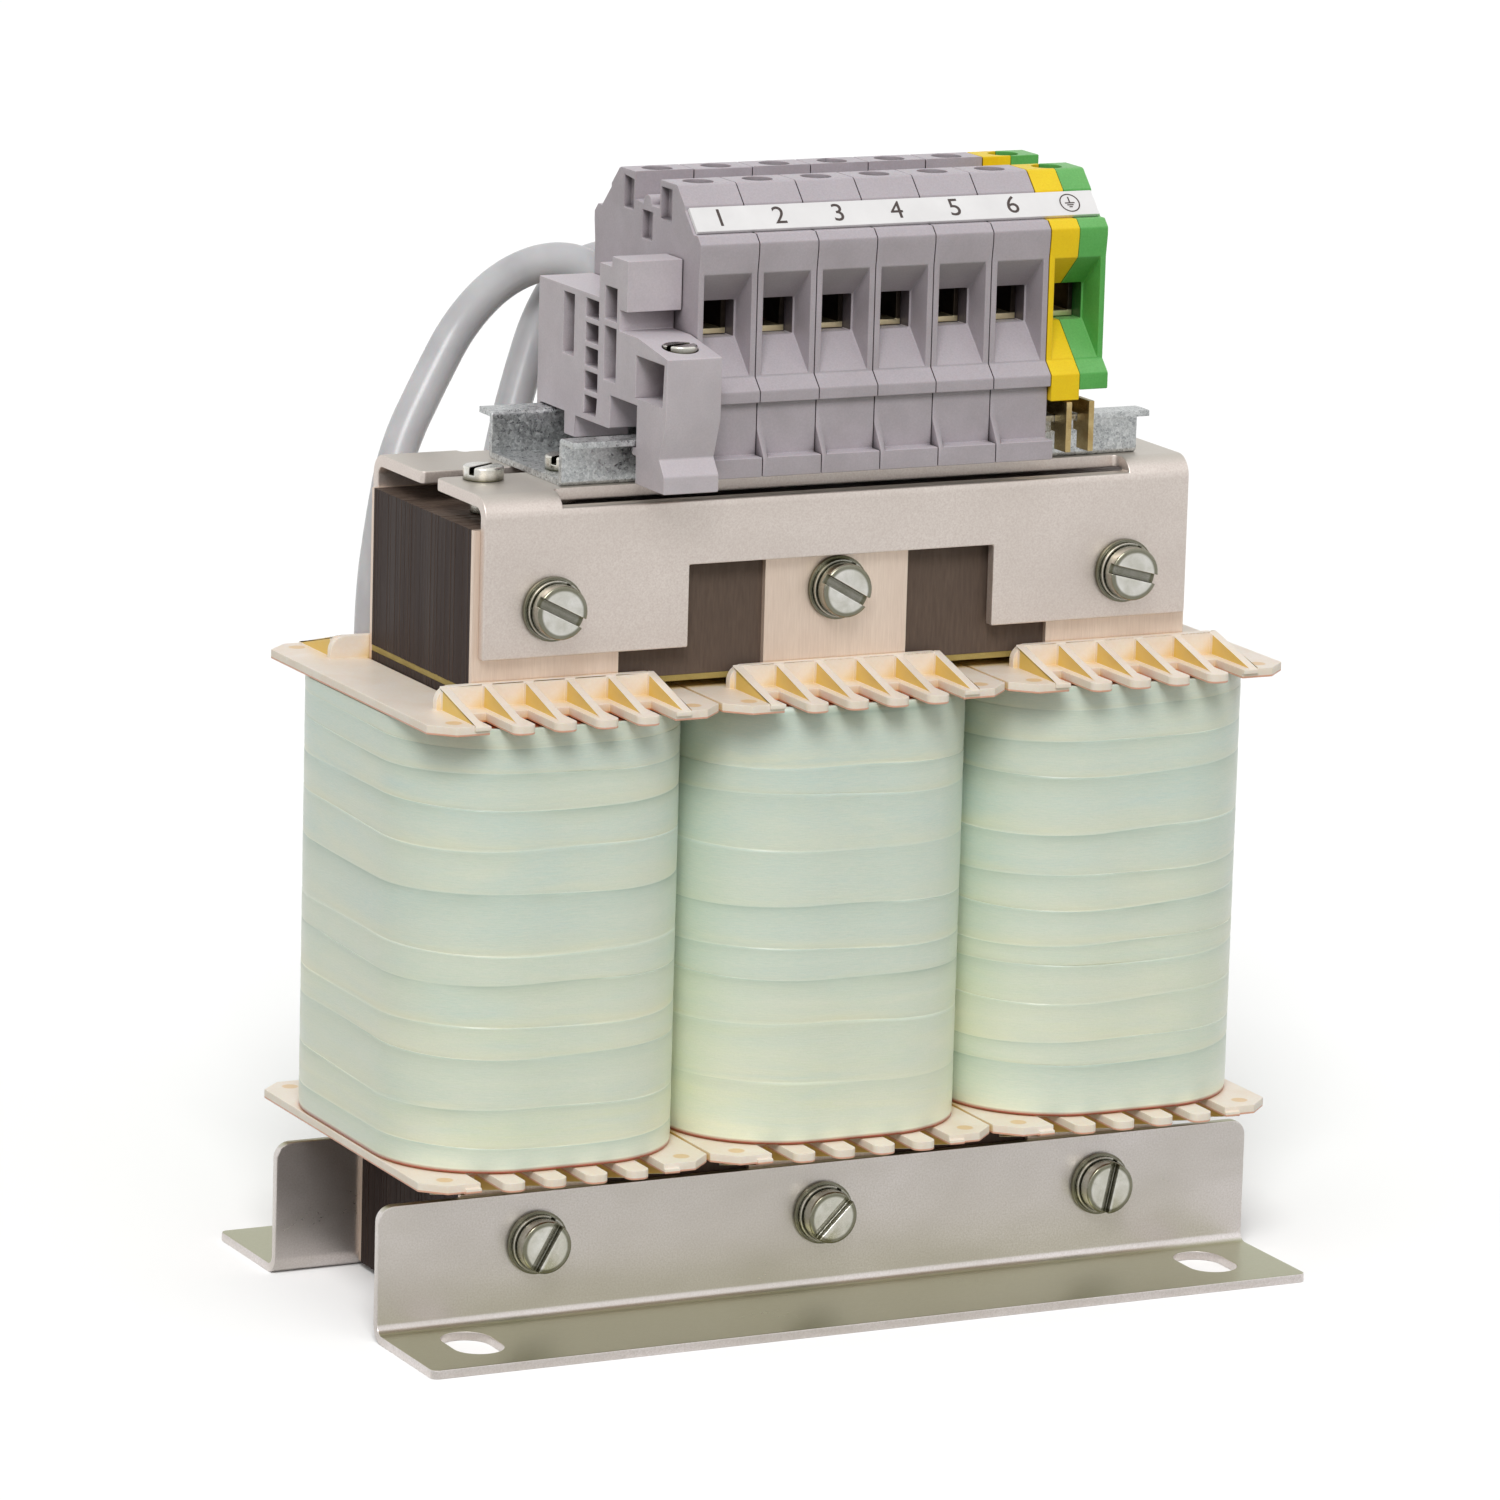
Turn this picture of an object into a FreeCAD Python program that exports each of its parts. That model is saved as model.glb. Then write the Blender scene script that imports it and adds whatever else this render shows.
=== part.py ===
"""Three-phase motor choke on a laminated core, with rail-mounted terminals on top.

Frame: X along the core, front towards -Y, Z up. The origin lies on the mounting surface,
below the middle of the core. All sizes are in millimetres.
"""
import FreeCAD, Part
import functools
import math
import os
import re
import Sketcher

# Driving dimensions

SIZES = (
    # laminated core
    ("limb_width", 25.0),
    ("window_width", 25.0),
    ("window_height", 75.0),
    ("yoke_height", 25.0),
    ("core_depth", 37.0),
    ("core_lift", 1.2),
    ("gap_sheet", 1.0),
    # tie plates on the limbs
    ("plate_sheet", 1.0),
    # base angles
    ("base_length", 154.0),
    ("base_sheet", 1.5),
    ("base_height", 21.8),
    ("foot_depth", 23.0),
    ("base_corner", 2.6),
    ("foot_corner", 1.2),
    ("bend_radius", 1.5),
    ("foot_hole_pitch", 130.0),
    ("foot_slot_width", 8.0),
    ("foot_slot_length", 12.5),
    ("foot_slot_inset", 12.0),
    # top brackets
    ("bracket_length", 123.0),
    ("bracket_sheet", 2.0),
    ("bracket_rise", 5.3),
    ("bracket_drop", 20.1),
    ("bracket_cutout_width", 53.2),
    ("bracket_cutout_room", 0.3),
    ("bracket_corner", 0.8),
    ("shelf_depth", 18.7),
    ("shelf_notch_length", 99.0),
    ("shelf_notch_shift", 1.2),
    ("shelf_notch_depth", 4.6),
    ("shelf_notch_drop", 2.2),
    ("shelf_notch_corner", 1.0),
    ("earth_screw_inset", 6.5),
    ("earth_screw_reach", 15.5),
    # clamping bolts through the yokes
    ("bolt_size", 5.0),
    ("bolt_clearance", 0.3),
    ("bolt_head_width", 8.5),
    ("bolt_head_height", 2.3),
    ("bolt_slot_width", 1.5),
    ("bolt_slot_depth", 1.2),
    ("bolt_tail", 1.6),
    ("washer_width", 10.2),
    ("washer_sheet", 0.8),
    ("spring_washer_width", 9.2),
    ("spring_washer_height", 1.0),
    ("nut_width", 8.0),
    ("nut_height", 4.0),
    # bobbins
    ("bobbin_height", 73.4),
    ("bobbin_lift", 0.3),
    ("bobbin_wall", 1.5),
    ("bobbin_clearance", 0.2),
    ("flange_gap", 0.6),
    ("flange_sheet", 1.5),
    ("flange_side_reach", 30.3),
    ("flange_corner_reach", 33.8),
    ("flange_corner_cut", 3.6),
    ("finger_reach", 36.0),
    ("finger_width", 3.8),
    ("finger_root", 25.0),
    ("finger_tip_round", 1.5),
    ("gusset_pitch", 7.0),
    ("gusset_sheet", 1.5),
    ("gusset_reach", 34.3),
    ("collar_width", 38.0),
    ("collar_height", 3.6),
    ("collar_sheet", 1.4),
    ("collar_round", 2.4),
    # windings and their tape wrap
    ("winding_gap", 0.8),
    ("winding_half_depth", 31.0),
    ("winding_corner", 18.0),
    ("wrap_thickness", 1.0),
    ("winding_clearance", 0.15),
    # terminal rail
    ("rail_width", 35.0),
    ("rail_web_width", 27.0),
    ("rail_height", 7.5),
    ("rail_sheet", 1.0),
    ("rail_length", 101.0),
    ("rail_shift", 4.2),
    ("rail_offset", 2.4),
    ("rail_bend", 0.8),
    ("rail_screw_size", 4.0),
    ("rail_screw_inset", 5.0),
    ("rail_screw_reach", 6.5),
    ("rail_screw_head_width", 6.4),
    ("rail_screw_head_height", 2.2),
    ("rail_screw_length", 5.2),
    ("screw_hole_clearance", 0.1),
    # terminals
    ("terminal_width", 10.2),
    ("terminal_gap", 0.1),
    ("terminal_height", 45.7),
    ("terminal_row_start", 26.3),
    ("tower_inner", 4.5),
    ("tower_outer", 10.3),
    ("tower_round", 1.0),
    ("shoulder_reach", 13.3),
    ("shoulder_drop", 3.0),
    ("valley_depth", 4.5),
    ("valley_rib_radius", 1.5),
    ("label_seat", 3.3),
    ("label_step", 0.6),
    ("label_sheet", 0.7),
    ("label_end_margin", 0.5),
    ("lip_reach", 19.3),
    ("lip_rise", 1.3),
    ("lip_sheet", 1.4),
    ("funnel_top", 32.8),
    ("funnel_reach", 18.9),
    ("partition_sheet", 1.0),
    ("socket_reach", 13.5),
    ("socket_floor", 22.1),
    ("socket_height", 5.8),
    ("socket_width", 7.4),
    ("ramp_reach", 20.9),
    ("ramp_height", 14.6),
    ("ramp_lip", 1.8),
    ("skirt_reach", 19.8),
    ("ledge_reach", 22.3),
    ("ledge_height", 4.5),
    ("ledge_rib", 4.0),
    ("ledge_rib_sheet", 0.9),
    ("foot_base", 1.4),
    ("hook_bite", 1.3),
    ("hook_height", 1.4),
    ("rail_clearance", 0.15),
    ("shaft_width", 4.8),
    ("shaft_reach", 7.35),
    ("recess_width", 3.7),
    ("recess_height", 5.0),
    ("recess_depth", 1.4),
    ("recess_reach", 4.9),
    ("recess_drop", 1.1),
    # clamping parts inside a terminal
    ("cage_depth", 7.0),
    ("cage_width", 7.2),
    ("cage_height", 11.0),
    ("cage_floor", 0.9),
    ("cage_roof", 1.3),
    ("cage_side", 0.8),
    ("cage_clearance", 0.1),
    ("bar_width", 5.4),
    ("bar_sheet", 1.6),
    ("bar_half_length", 10.5),
    ("wire_room", 5.1),
    ("clamp_screw_size", 3.5),
    ("clamp_screw_head_width", 4.4),
    ("clamp_screw_head_height", 2.2),
    ("clamp_screw_head_lift", 3.0),
    ("clamp_screw_slot_width", 0.9),
    ("clamp_screw_slot_depth", 1.2),
    # protective earth terminal
    ("earth_shell_base", 10.4),
    ("earth_green_base", 12.0),
    ("earth_leg_spacing", 4.0),
    ("earth_leg_sheet", 1.0),
    ("earth_leg_depth", 3.8),
    ("earth_leg_base", 2.2),
    # end clamp beside the terminals
    ("stop_width", 9.4),
    ("stop_height", 34.6),
    ("stop_step", 1.6),
    ("stop_step_depth", 4.4),
    ("stop_rear", 18.9),
    ("stop_rear_top", 27.6),
    ("stop_comb_rear", 1.5),
    ("stop_comb_front", 3.2),
    ("stop_face", 13.4),
    ("stop_face_base", 26.6),
    ("stop_chin_depth", 2.6),
    ("stop_lobe_top", 23.4),
    ("stop_lobe_slope", 1.8),
    ("stop_lobe_front", 28.1),
    ("stop_lobe_base", 12.0),
    ("stop_shin", 26.0),
    ("stop_ankle", 5.8),
    ("stop_toe", 27.9),
    ("stop_toe_height", 3.3),
    ("stop_toe_base", 0.6),
    ("stop_arch_front", 17.0),
    ("stop_arch_rear", 8.0),
    ("stop_arch_top", 12.8),
    ("stop_rib_sheet", 0.9),
    ("stop_pocket_depth", 5.2),
    ("stop_wall", 1.1),
    ("stop_prong_width", 4.0),
    ("stop_prong_base", 4.1),
    ("stop_prong_front", 4.6),
    ("stop_upper_pocket", 5.2),
    ("stop_screw_reach", 22.8),
    ("stop_screw_width", 5.4),
    ("stop_screw_height", 2.0),
    ("stop_screw_shank", 3.0),
    ("stop_screw_length", 9.0),
    ("stop_screw_recess", 0.6),
    # leads from the windings to the terminals
    ("lead_width", 6.0),
    ("lead_offset", 8.8),
    ("lead_depth", 26.7),
    ("lead_room", 0.8),
    ("lead_wire_width", 4.5),
    ("lead_bare_length", 9.5),
    ("lead_stop", 14.8),
    ("lead_last_run", 8.1),
)

# Places worked out from the driving dimensions

LIMB_PITCH = "(limb_width + window_width)"
CORE_LENGTH = "(3*limb_width + 2*window_width)"
WINDOW_BASE = "(core_lift + yoke_height)"
LIMB_TOP = f"({WINDOW_BASE} + window_height)"
YOKE_BASE = f"({LIMB_TOP} + gap_sheet)"
YOKE_TOP = f"({YOKE_BASE} + yoke_height)"
PLATE_FACE = "(core_depth/2 + plate_sheet)"
LOWER_BOLT = "(core_lift + yoke_height/2)"
UPPER_BOLT = f"({YOKE_BASE} + yoke_height/2)"
SHELF_TOP = f"({YOKE_TOP} + bracket_rise)"
BOBBIN_BASE = f"({WINDOW_BASE} + bobbin_lift)"
TUBE_HALF_WIDTH = "(limb_width/2 + bobbin_clearance + bobbin_wall)"
TUBE_HALF_DEPTH = "(core_depth/2 + plate_sheet + bobbin_clearance + bobbin_wall)"
COLLAR_FACE = "(core_depth/2 + plate_sheet + bobbin_clearance + collar_sheet)"
FLANGE_HALF_WIDTH = f"({LIMB_PITCH}/2 - flange_gap/2)"
WINDING_HALF_WIDTH = f"({LIMB_PITCH}/2 - winding_gap/2)"
UNDERSIDE = "(rail_height + rail_clearance)"
FOOT_INNER = "(rail_width/2 + rail_clearance)"
HOOK_TOP = "(rail_height - rail_sheet - rail_clearance)"
SOCKET_TOP = "(socket_floor + cage_height + 2*cage_clearance)"
CAGE_REAR = "(shaft_reach - cage_depth/2)"
CAGE_FRONT = "(shaft_reach + cage_depth/2)"
CAGE_BASE = "(socket_floor + cage_clearance)"
BAR_BASE = f"({CAGE_BASE} + cage_floor + wire_room)"
BAR_TOP = f"({BAR_BASE} + bar_sheet)"
RAIL_SCREW_X = "(rail_length/2 - rail_screw_inset)"
EARTH_SCREW_X = "(earth_screw_inset - bracket_length/2)"
EARTH_SCREW_Y = f"(earth_screw_reach - {PLATE_FACE} - bracket_sheet)"
LEAD_GAP_ROOT = "(lead_depth - lead_width/2 - lead_room)"
WINDING_TOP = f"({BOBBIN_BASE} + bobbin_height - flange_sheet - winding_clearance)"
WIRE_HEIGHT = f"({SHELF_TOP} + {CAGE_BASE} + cage_floor + wire_room/2)"
STOP_SEAT = "(stop_lobe_slope + stop_screw_recess)"
TERMINALS = 7
SIDES = (("left", -1), ("centre", 0), ("right", 1))

# Fingers along a bobbin's flange, and the gaps between them, counted from the middle one
FINGERS = 6
GUSSET_GAPS = tuple(place + 1 - FINGERS/2 for place in range(FINGERS - 1))
OUTER_FINGER = f"({FINGERS - 1}*gusset_pitch/2 - finger_width/2)"

# Gaps in the comb on the end clamp's side
COMB_GAPS = 5

# Turns of the screw slots in degrees: the lower and the upper bolts, the rail and end clamp screws,
# and the steps from one terminal and one side to the next
HEAD_TURNS = ((60, 45, 78), (-27, -30, -15))
RAIL_SCREW_TURN = 30
STOP_SCREW_TURN = 20
CLAMP_SCREW_TURN = 37
CLAMP_SIDE_TURN = 71

# The share of a screw head's height that its rim is rounded by
HEAD_ROUND = 1/6

# How near an edge lies to a named place, and how straight it runs along an axis, to be taken
EDGE_NEAR = 0.01
EDGE_ALONG = 0.999

# A lead's arcs take this share of the shorter run beside them
ARC_SHARE = 0.45

# Points between a lead's first and last, as shares of the rise, and how far they stand out to the rear
LEAD_RISE = (0.0, 0.16, 0.346, 0.538, 0.714, 0.864, 0.988, 1.048)
LEAD_BULGE = (0.0, 0.0, 2.8, 5.8, 8.3, 9.9, 7.5, 1.5)

# The coil side and the hand of each lead, and the shares of its way across at the same points
LEAD_WAYS = (
    (-1, -1, (0.0, 0.0, 0.072, 0.165, 0.343, 0.5, 0.675, 0.86)),
    (-1, 1, (0.0, 0.0, 0.132, 0.238, 0.374, 0.497, 0.61, 0.8)),
    (0, -1, (0.0, 0.0, 0.05, 0.2, 0.4, 0.6, 0.8, 0.95)),
    (0, 1, (0.0, 0.0, 0.2, 0.4, 0.6, 0.75, 0.9, 1.0)),
    (1, -1, (0.0, 0.0, 0.1, 0.22, 0.38, 0.53, 0.69, 0.87)),
    (1, 1, (0.0, 0.0, 0.07, 0.17, 0.34, 0.51, 0.69, 0.87)),
)

document = FreeCAD.newDocument("MotorChoke")
sheet = document.addObject("Spreadsheet::Sheet", "Sizes")
for row, (name, value) in enumerate(SIZES, 1):
    sheet.set(f"A{row}", name)
    sheet.set(f"B{row}", str(value))
    sheet.setAlias(f"B{row}", name)
document.recompute()
NAMES = {name for name, value in SIZES}
kept = []


# Helpers for bound sketches and features

def bound(text):
    """An expression in plain size names, as the document reads it."""
    return re.sub(r"[a-z][a-z_]+",
                  lambda word: "Sizes." + word[0] if word[0] in NAMES else word[0], str(text))


@functools.lru_cache(maxsize=None)
def size(text):
    """The value of an expression in plain size names."""
    return float(sheet.evalExpression(bound(text)))


def new_body(label, x="0", y="0", z="0", turned=False):
    """A body at a place bound to the sizes, turned half round about Z when it is the rear copy."""
    body = document.addObject("PartDesign::Body", label)
    body.Label = label
    if turned:
        body.Placement = FreeCAD.Placement(FreeCAD.Vector(), FreeCAD.Rotation(FreeCAD.Vector(0, 0, 1), 180))
    for axis, place in (("x", x), ("y", y), ("z", z)):
        body.setExpression(f"Placement.Base.{axis}", bound(place))
    kept.append(body)
    return body


def new_sketch(body, role, offset="0"):
    """An empty sketch on one of the body's own planes, moved along that plane's normal."""
    sketch = body.newObject("Sketcher::SketchObject", body.Label + "_sketch")
    support = next(item for item in body.Origin.OriginFeatures if item.Role == role)
    sketch.AttachmentSupport = [(support, "")]
    sketch.MapMode = "FlatFace"
    sketch.setExpression("AttachmentOffset.Base.z", bound(offset))
    return sketch


def add_outline(sketch, points):
    """A closed outline of straight lines whose corners are bound to the sizes."""
    first = sketch.GeometryCount
    count = len(points)
    start = [FreeCAD.Vector(math.cos(turn), math.sin(turn), 0)
             for turn in (2*math.pi*step/count for step in range(count))]
    for step in range(count):
        sketch.addGeometry(Part.LineSegment(start[step], start[(step + 1) % count]), False)
    for step in range(count):
        after = first + (step + 1) % count
        sketch.addConstraint(Sketcher.Constraint("Coincident", first + step, 2, after, 1))
    for step, corner in enumerate(points):
        for kind, place, begin in zip(("DistanceX", "DistanceY"), corner, start[step]):
            number = sketch.addConstraint(Sketcher.Constraint(kind, -1, 1, first + step, 1, begin))
            sketch.setExpression(f"Constraints[{number}]", bound(place))


def add_rectangle(sketch, low_x, low_y, high_x, high_y):
    """A rectangle between two bound corners."""
    add_outline(sketch, ((low_x, low_y), (high_x, low_y), (high_x, high_y), (low_x, high_y)))


def add_rounded_rectangle(sketch, half_width, half_depth, corner):
    """A rectangle about the origin with round corners."""
    x, y, radius = size(half_width), size(half_depth), size(corner)
    first = sketch.GeometryCount
    for step, (side_x, side_y) in enumerate(((1, 1), (-1, 1), (-1, -1), (1, -1))):
        centre = FreeCAD.Vector(side_x*(x - radius), side_y*(y - radius), 0)
        circle = Part.Circle(centre, FreeCAD.Vector(0, 0, 1), radius)
        begin = math.radians(90*step)
        sketch.addGeometry(Part.ArcOfCircle(circle, begin, begin + math.pi/2), False)
        arc_end = centre + FreeCAD.Vector(-math.sin(begin), math.cos(begin), 0)*radius
        run = 2*(x - radius) if step % 2 == 0 else 2*(y - radius)
        line_end = arc_end - FreeCAD.Vector(math.cos(begin), math.sin(begin), 0)*run
        sketch.addGeometry(Part.LineSegment(arc_end, line_end), False)
        arc = first + 2*step
        centre_x = Sketcher.Constraint("DistanceX", -1, 1, arc, 3, centre.x)
        centre_y = Sketcher.Constraint("DistanceY", -1, 1, arc, 3, centre.y)
        round_corner = Sketcher.Constraint("Radius", arc, radius)
        for constraint, place in ((centre_x, f"{side_x}*({half_width} - ({corner}))"),
                                  (centre_y, f"{side_y}*({half_depth} - ({corner}))"),
                                  (round_corner, corner)):
            number = sketch.addConstraint(constraint)
            sketch.setExpression(f"Constraints[{number}]", bound(place))
    pieces = sketch.GeometryCount - first
    for step in range(pieces):
        after = first + (step + 1) % pieces
        sketch.addConstraint(Sketcher.Constraint("Tangent", first + step, 2, after, 1))


def add_circle(sketch, x, y, radius):
    """A circle with a bound centre and radius."""
    number = sketch.addGeometry(Part.Circle(FreeCAD.Vector(1, 1, 0), FreeCAD.Vector(0, 0, 1), 1), False)
    for constraint, place in ((Sketcher.Constraint("DistanceX", -1, 1, number, 3, 1), x),
                              (Sketcher.Constraint("DistanceY", -1, 1, number, 3, 1), y),
                              (Sketcher.Constraint("Radius", number, 1), radius)):
        index = sketch.addConstraint(constraint)
        sketch.setExpression(f"Constraints[{index}]", bound(place))


def extrude(kind, body, sketch, length, symmetric, reverse):
    """A pad or a pocket of a sketch, with a bound length."""
    feature = body.newObject(f"PartDesign::{kind}", f"{body.Label}_{kind.lower()}")
    feature.Profile = sketch
    feature.setExpression("Length", bound(length))
    feature.SideType = "Symmetric" if symmetric else "One side"
    feature.Reversed = reverse
    sketch.Visibility = False
    return feature


def pad(body, sketch, length, symmetric=False, reverse=False):
    """Material added along the sketch's normal."""
    return extrude("Pad", body, sketch, length, symmetric, reverse)


def pocket(body, sketch, length, symmetric=False, reverse=False):
    """Material cut away against the sketch's normal."""
    return extrude("Pocket", body, sketch, length, symmetric, reverse)


def edges_where(shape, test):
    """The names of the edges whose middle point and direction pass the test."""
    names = []
    for number, edge in enumerate(shape.Edges, 1):
        if len(edge.Vertexes) == 2:
            span = edge.Vertexes[1].Point - edge.Vertexes[0].Point
            if test(edge.CenterOfMass, span.normalize()):
                names.append(f"Edge{number}")
    return names


def round_edges(body, radius, test, kind="Fillet"):
    """A fillet or chamfer on the edges that pass the test."""
    body.recompute(True)
    base = body.Tip
    feature = body.newObject(f"PartDesign::{kind}", f"{body.Label}_{kind.lower()}")
    feature.Base = (base, edges_where(base.Shape, test))
    feature.setExpression("Radius" if kind == "Fillet" else "Size", bound(radius))
    return feature


def near(value, expression):
    """Whether a coordinate lies at the place that an expression names."""
    return abs(value - size(expression)) < EDGE_NEAR


def along(direction, axis):
    """Whether an edge runs along an axis, 0 for X, 1 for Y and 2 for Z."""
    return abs(direction[axis]) > EDGE_ALONG


def group(label, shapes):
    """Identical pieces as separate solids of one sub-part."""
    feature = document.addObject("Part::Feature", label)
    feature.Label = label
    feature.Shape = Part.makeCompound(shapes)
    feature.Placement = FreeCAD.Placement()
    kept.append(feature)
    return feature


# Laminated core

def core_stack():
    """The three limbs and the lower yoke."""
    body = new_body("core_stack")
    inner = "limb_width/2"
    window = f"({LIMB_PITCH} - limb_width/2)"
    outer = f"{CORE_LENGTH}/2"
    half = ((inner, LIMB_TOP), (inner, WINDOW_BASE), (window, WINDOW_BASE), (window, LIMB_TOP),
            (outer, LIMB_TOP), (outer, "core_lift"))
    outline = new_sketch(body, "XZ_Plane")
    add_outline(outline, half + tuple((f"-({x})", z) for x, z in reversed(half)))
    pad(body, outline, "core_depth", symmetric=True)
    drill_bolt_holes(body, LOWER_BOLT)


def drill_bolt_holes(body, height):
    """The three bolt holes of a yoke, one below or above each limb."""
    holes = new_sketch(body, "XZ_Plane")
    for name, side in SIDES:
        add_circle(holes, f"{side}*{LIMB_PITCH}", height, "(bolt_size + bolt_clearance)/2")
    pocket(body, holes, "2*core_depth", symmetric=True)


def top_yoke():
    """The upper yoke, laid across the limbs."""
    body = new_body("top_yoke_stack")
    outline = new_sketch(body, "XZ_Plane")
    add_rectangle(outline, f"-{CORE_LENGTH}/2", YOKE_BASE, f"{CORE_LENGTH}/2", YOKE_TOP)
    pad(body, outline, "core_depth", symmetric=True)
    drill_bolt_holes(body, UPPER_BOLT)


def air_gap_sheet():
    """The insulating sheet that sets the air gap between limbs and yoke."""
    body = new_body("air_gap_sheet", z=LIMB_TOP)
    outline = new_sketch(body, "XY_Plane")
    add_rectangle(outline, f"-{CORE_LENGTH}/2", "-core_depth/2", f"{CORE_LENGTH}/2", "core_depth/2")
    pad(body, outline, "gap_sheet")


def tie_plate(face, turned, name, side):
    """A flat plate along one limb that ties both yokes together."""
    body = new_body(f"tie_plate_{face}_{name}", x=f"{side}*{LIMB_PITCH}", turned=turned)
    outline = new_sketch(body, "XZ_Plane", "core_depth/2")
    add_rectangle(outline, "-limb_width/2", "core_lift", "limb_width/2", YOKE_TOP)
    pad(body, outline, "plate_sheet")
    holes = new_sketch(body, "XZ_Plane", "core_depth/2")
    for height in (LOWER_BOLT, UPPER_BOLT):
        add_circle(holes, "0", height, "(bolt_size + bolt_clearance)/2")
    pocket(body, holes, "plate_sheet", reverse=True)


# Base angles and top brackets

def base_angle(face, turned):
    """A folded foot angle with its slotted mounting holes."""
    body = new_body(f"base_angle_{face}", turned=turned)
    inner = f"-{PLATE_FACE}"
    outer = f"(-{PLATE_FACE} - base_sheet)"
    toe = f"(-{PLATE_FACE} - foot_depth)"
    section = new_sketch(body, "YZ_Plane")
    add_outline(section, ((inner, "0"), (inner, "base_height"), (outer, "base_height"),
                          (outer, "base_sheet"), (toe, "base_sheet"), (toe, "0")))
    pad(body, section, "base_length", symmetric=True)
    round_edges(body, "bend_radius",
                lambda at, way: along(way, 0) and near(at.y, outer) and near(at.z, "base_sheet"))
    round_edges(body, "bend_radius + base_sheet",
                lambda at, way: along(way, 0) and near(at.y, inner) and near(at.z, "0"))
    round_edges(body, "base_corner",
                lambda at, way: along(way, 1) and near(at.z, "base_height"))
    round_edges(body, "foot_corner",
                lambda at, way: along(way, 2) and near(at.y, toe))
    holes = new_sketch(body, "XZ_Plane")
    for name, side in SIDES:
        add_circle(holes, f"{side}*{LIMB_PITCH}", LOWER_BOLT, "(bolt_size + bolt_clearance)/2")
    pocket(body, holes, f"2*({PLATE_FACE} + base_sheet)", symmetric=True)
    for side in (-1, 1):
        foot_slot(body, f"{side}*foot_hole_pitch/2", f"({toe} + foot_slot_inset)")


def foot_slot(body, x, y):
    """A mounting slot, longer along the depth than along the length."""
    straight = "(foot_slot_length - foot_slot_width)/2"
    middle = new_sketch(body, "XY_Plane")
    add_rectangle(middle, f"{x} - foot_slot_width/2", f"{y} - {straight}",
                  f"{x} + foot_slot_width/2", f"{y} + {straight}")
    pocket(body, middle, "base_sheet", reverse=True)
    for end in (-1, 1):
        cap = new_sketch(body, "XY_Plane")
        add_circle(cap, x, f"{y} + {end}*{straight}", "foot_slot_width/2")
        pocket(body, cap, "base_sheet", reverse=True)


def top_bracket(face, turned, side):
    """A folded bracket that clamps the upper yoke and carries the rail on its shelf."""
    body = new_body(f"top_bracket_{face}", turned=turned)
    inner = f"-{PLATE_FACE}"
    front = f"(-{PLATE_FACE} - bracket_sheet)"
    base = f"({YOKE_TOP} - bracket_drop)"
    shelf = f"({front} + shelf_depth)"
    section = new_sketch(body, "YZ_Plane")
    add_outline(section, ((front, base), (front, SHELF_TOP), (shelf, SHELF_TOP),
                          (shelf, f"{SHELF_TOP} - bracket_sheet"),
                          (inner, f"{SHELF_TOP} - bracket_sheet"), (inner, base)))
    pad(body, section, "bracket_length", symmetric=True)
    underside = f"{SHELF_TOP} - bracket_sheet"
    round_edges(body, "bend_radius",
                lambda at, way: along(way, 0) and near(at.y, inner) and near(at.z, underside))
    round_edges(body, "bend_radius + bracket_sheet",
                lambda at, way: along(way, 0) and near(at.y, front) and near(at.z, SHELF_TOP))
    round_edges(body, "bracket_corner",
                lambda at, way: along(way, 2) and near(at.y, shelf))
    cut = new_sketch(body, "XZ_Plane")
    half = "bracket_cutout_width/2"
    add_rectangle(cut, f"-{half}", base, half, f"{UPPER_BOLT} + washer_width/2 + bracket_cutout_room")
    pocket(body, cut, f"2*({PLATE_FACE} + bracket_sheet)", symmetric=True)
    notch = new_sketch(body, "XY_Plane", SHELF_TOP)
    middle = f"{side}*shelf_notch_shift"
    add_rectangle(notch, f"{middle} - shelf_notch_length/2", f"{front} - bracket_sheet",
                  f"{middle} + shelf_notch_length/2", f"{front} + shelf_notch_depth")
    pocket(body, notch, "shelf_notch_drop")
    round_edges(body, "shelf_notch_corner",
                lambda at, way: along(way, 2) and near(at.y, f"{front} + shelf_notch_depth"))
    holes = new_sketch(body, "XZ_Plane")
    for end in (-1, 1):
        add_circle(holes, f"{end}*{LIMB_PITCH}", UPPER_BOLT, "(bolt_size + bolt_clearance)/2")
    pocket(body, holes, f"2*({PLATE_FACE} + bracket_sheet)", symmetric=True)
    taps = new_sketch(body, "XY_Plane", SHELF_TOP)
    add_circle(taps, f"{side}*rail_shift - {RAIL_SCREW_X}", "-rail_screw_reach", "rail_screw_size/2")
    if side > 0:
        add_circle(taps, EARTH_SCREW_X, EARTH_SCREW_Y, "rail_screw_size/2")
    pocket(body, taps, "bracket_sheet")


# Bobbins and windings

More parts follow.
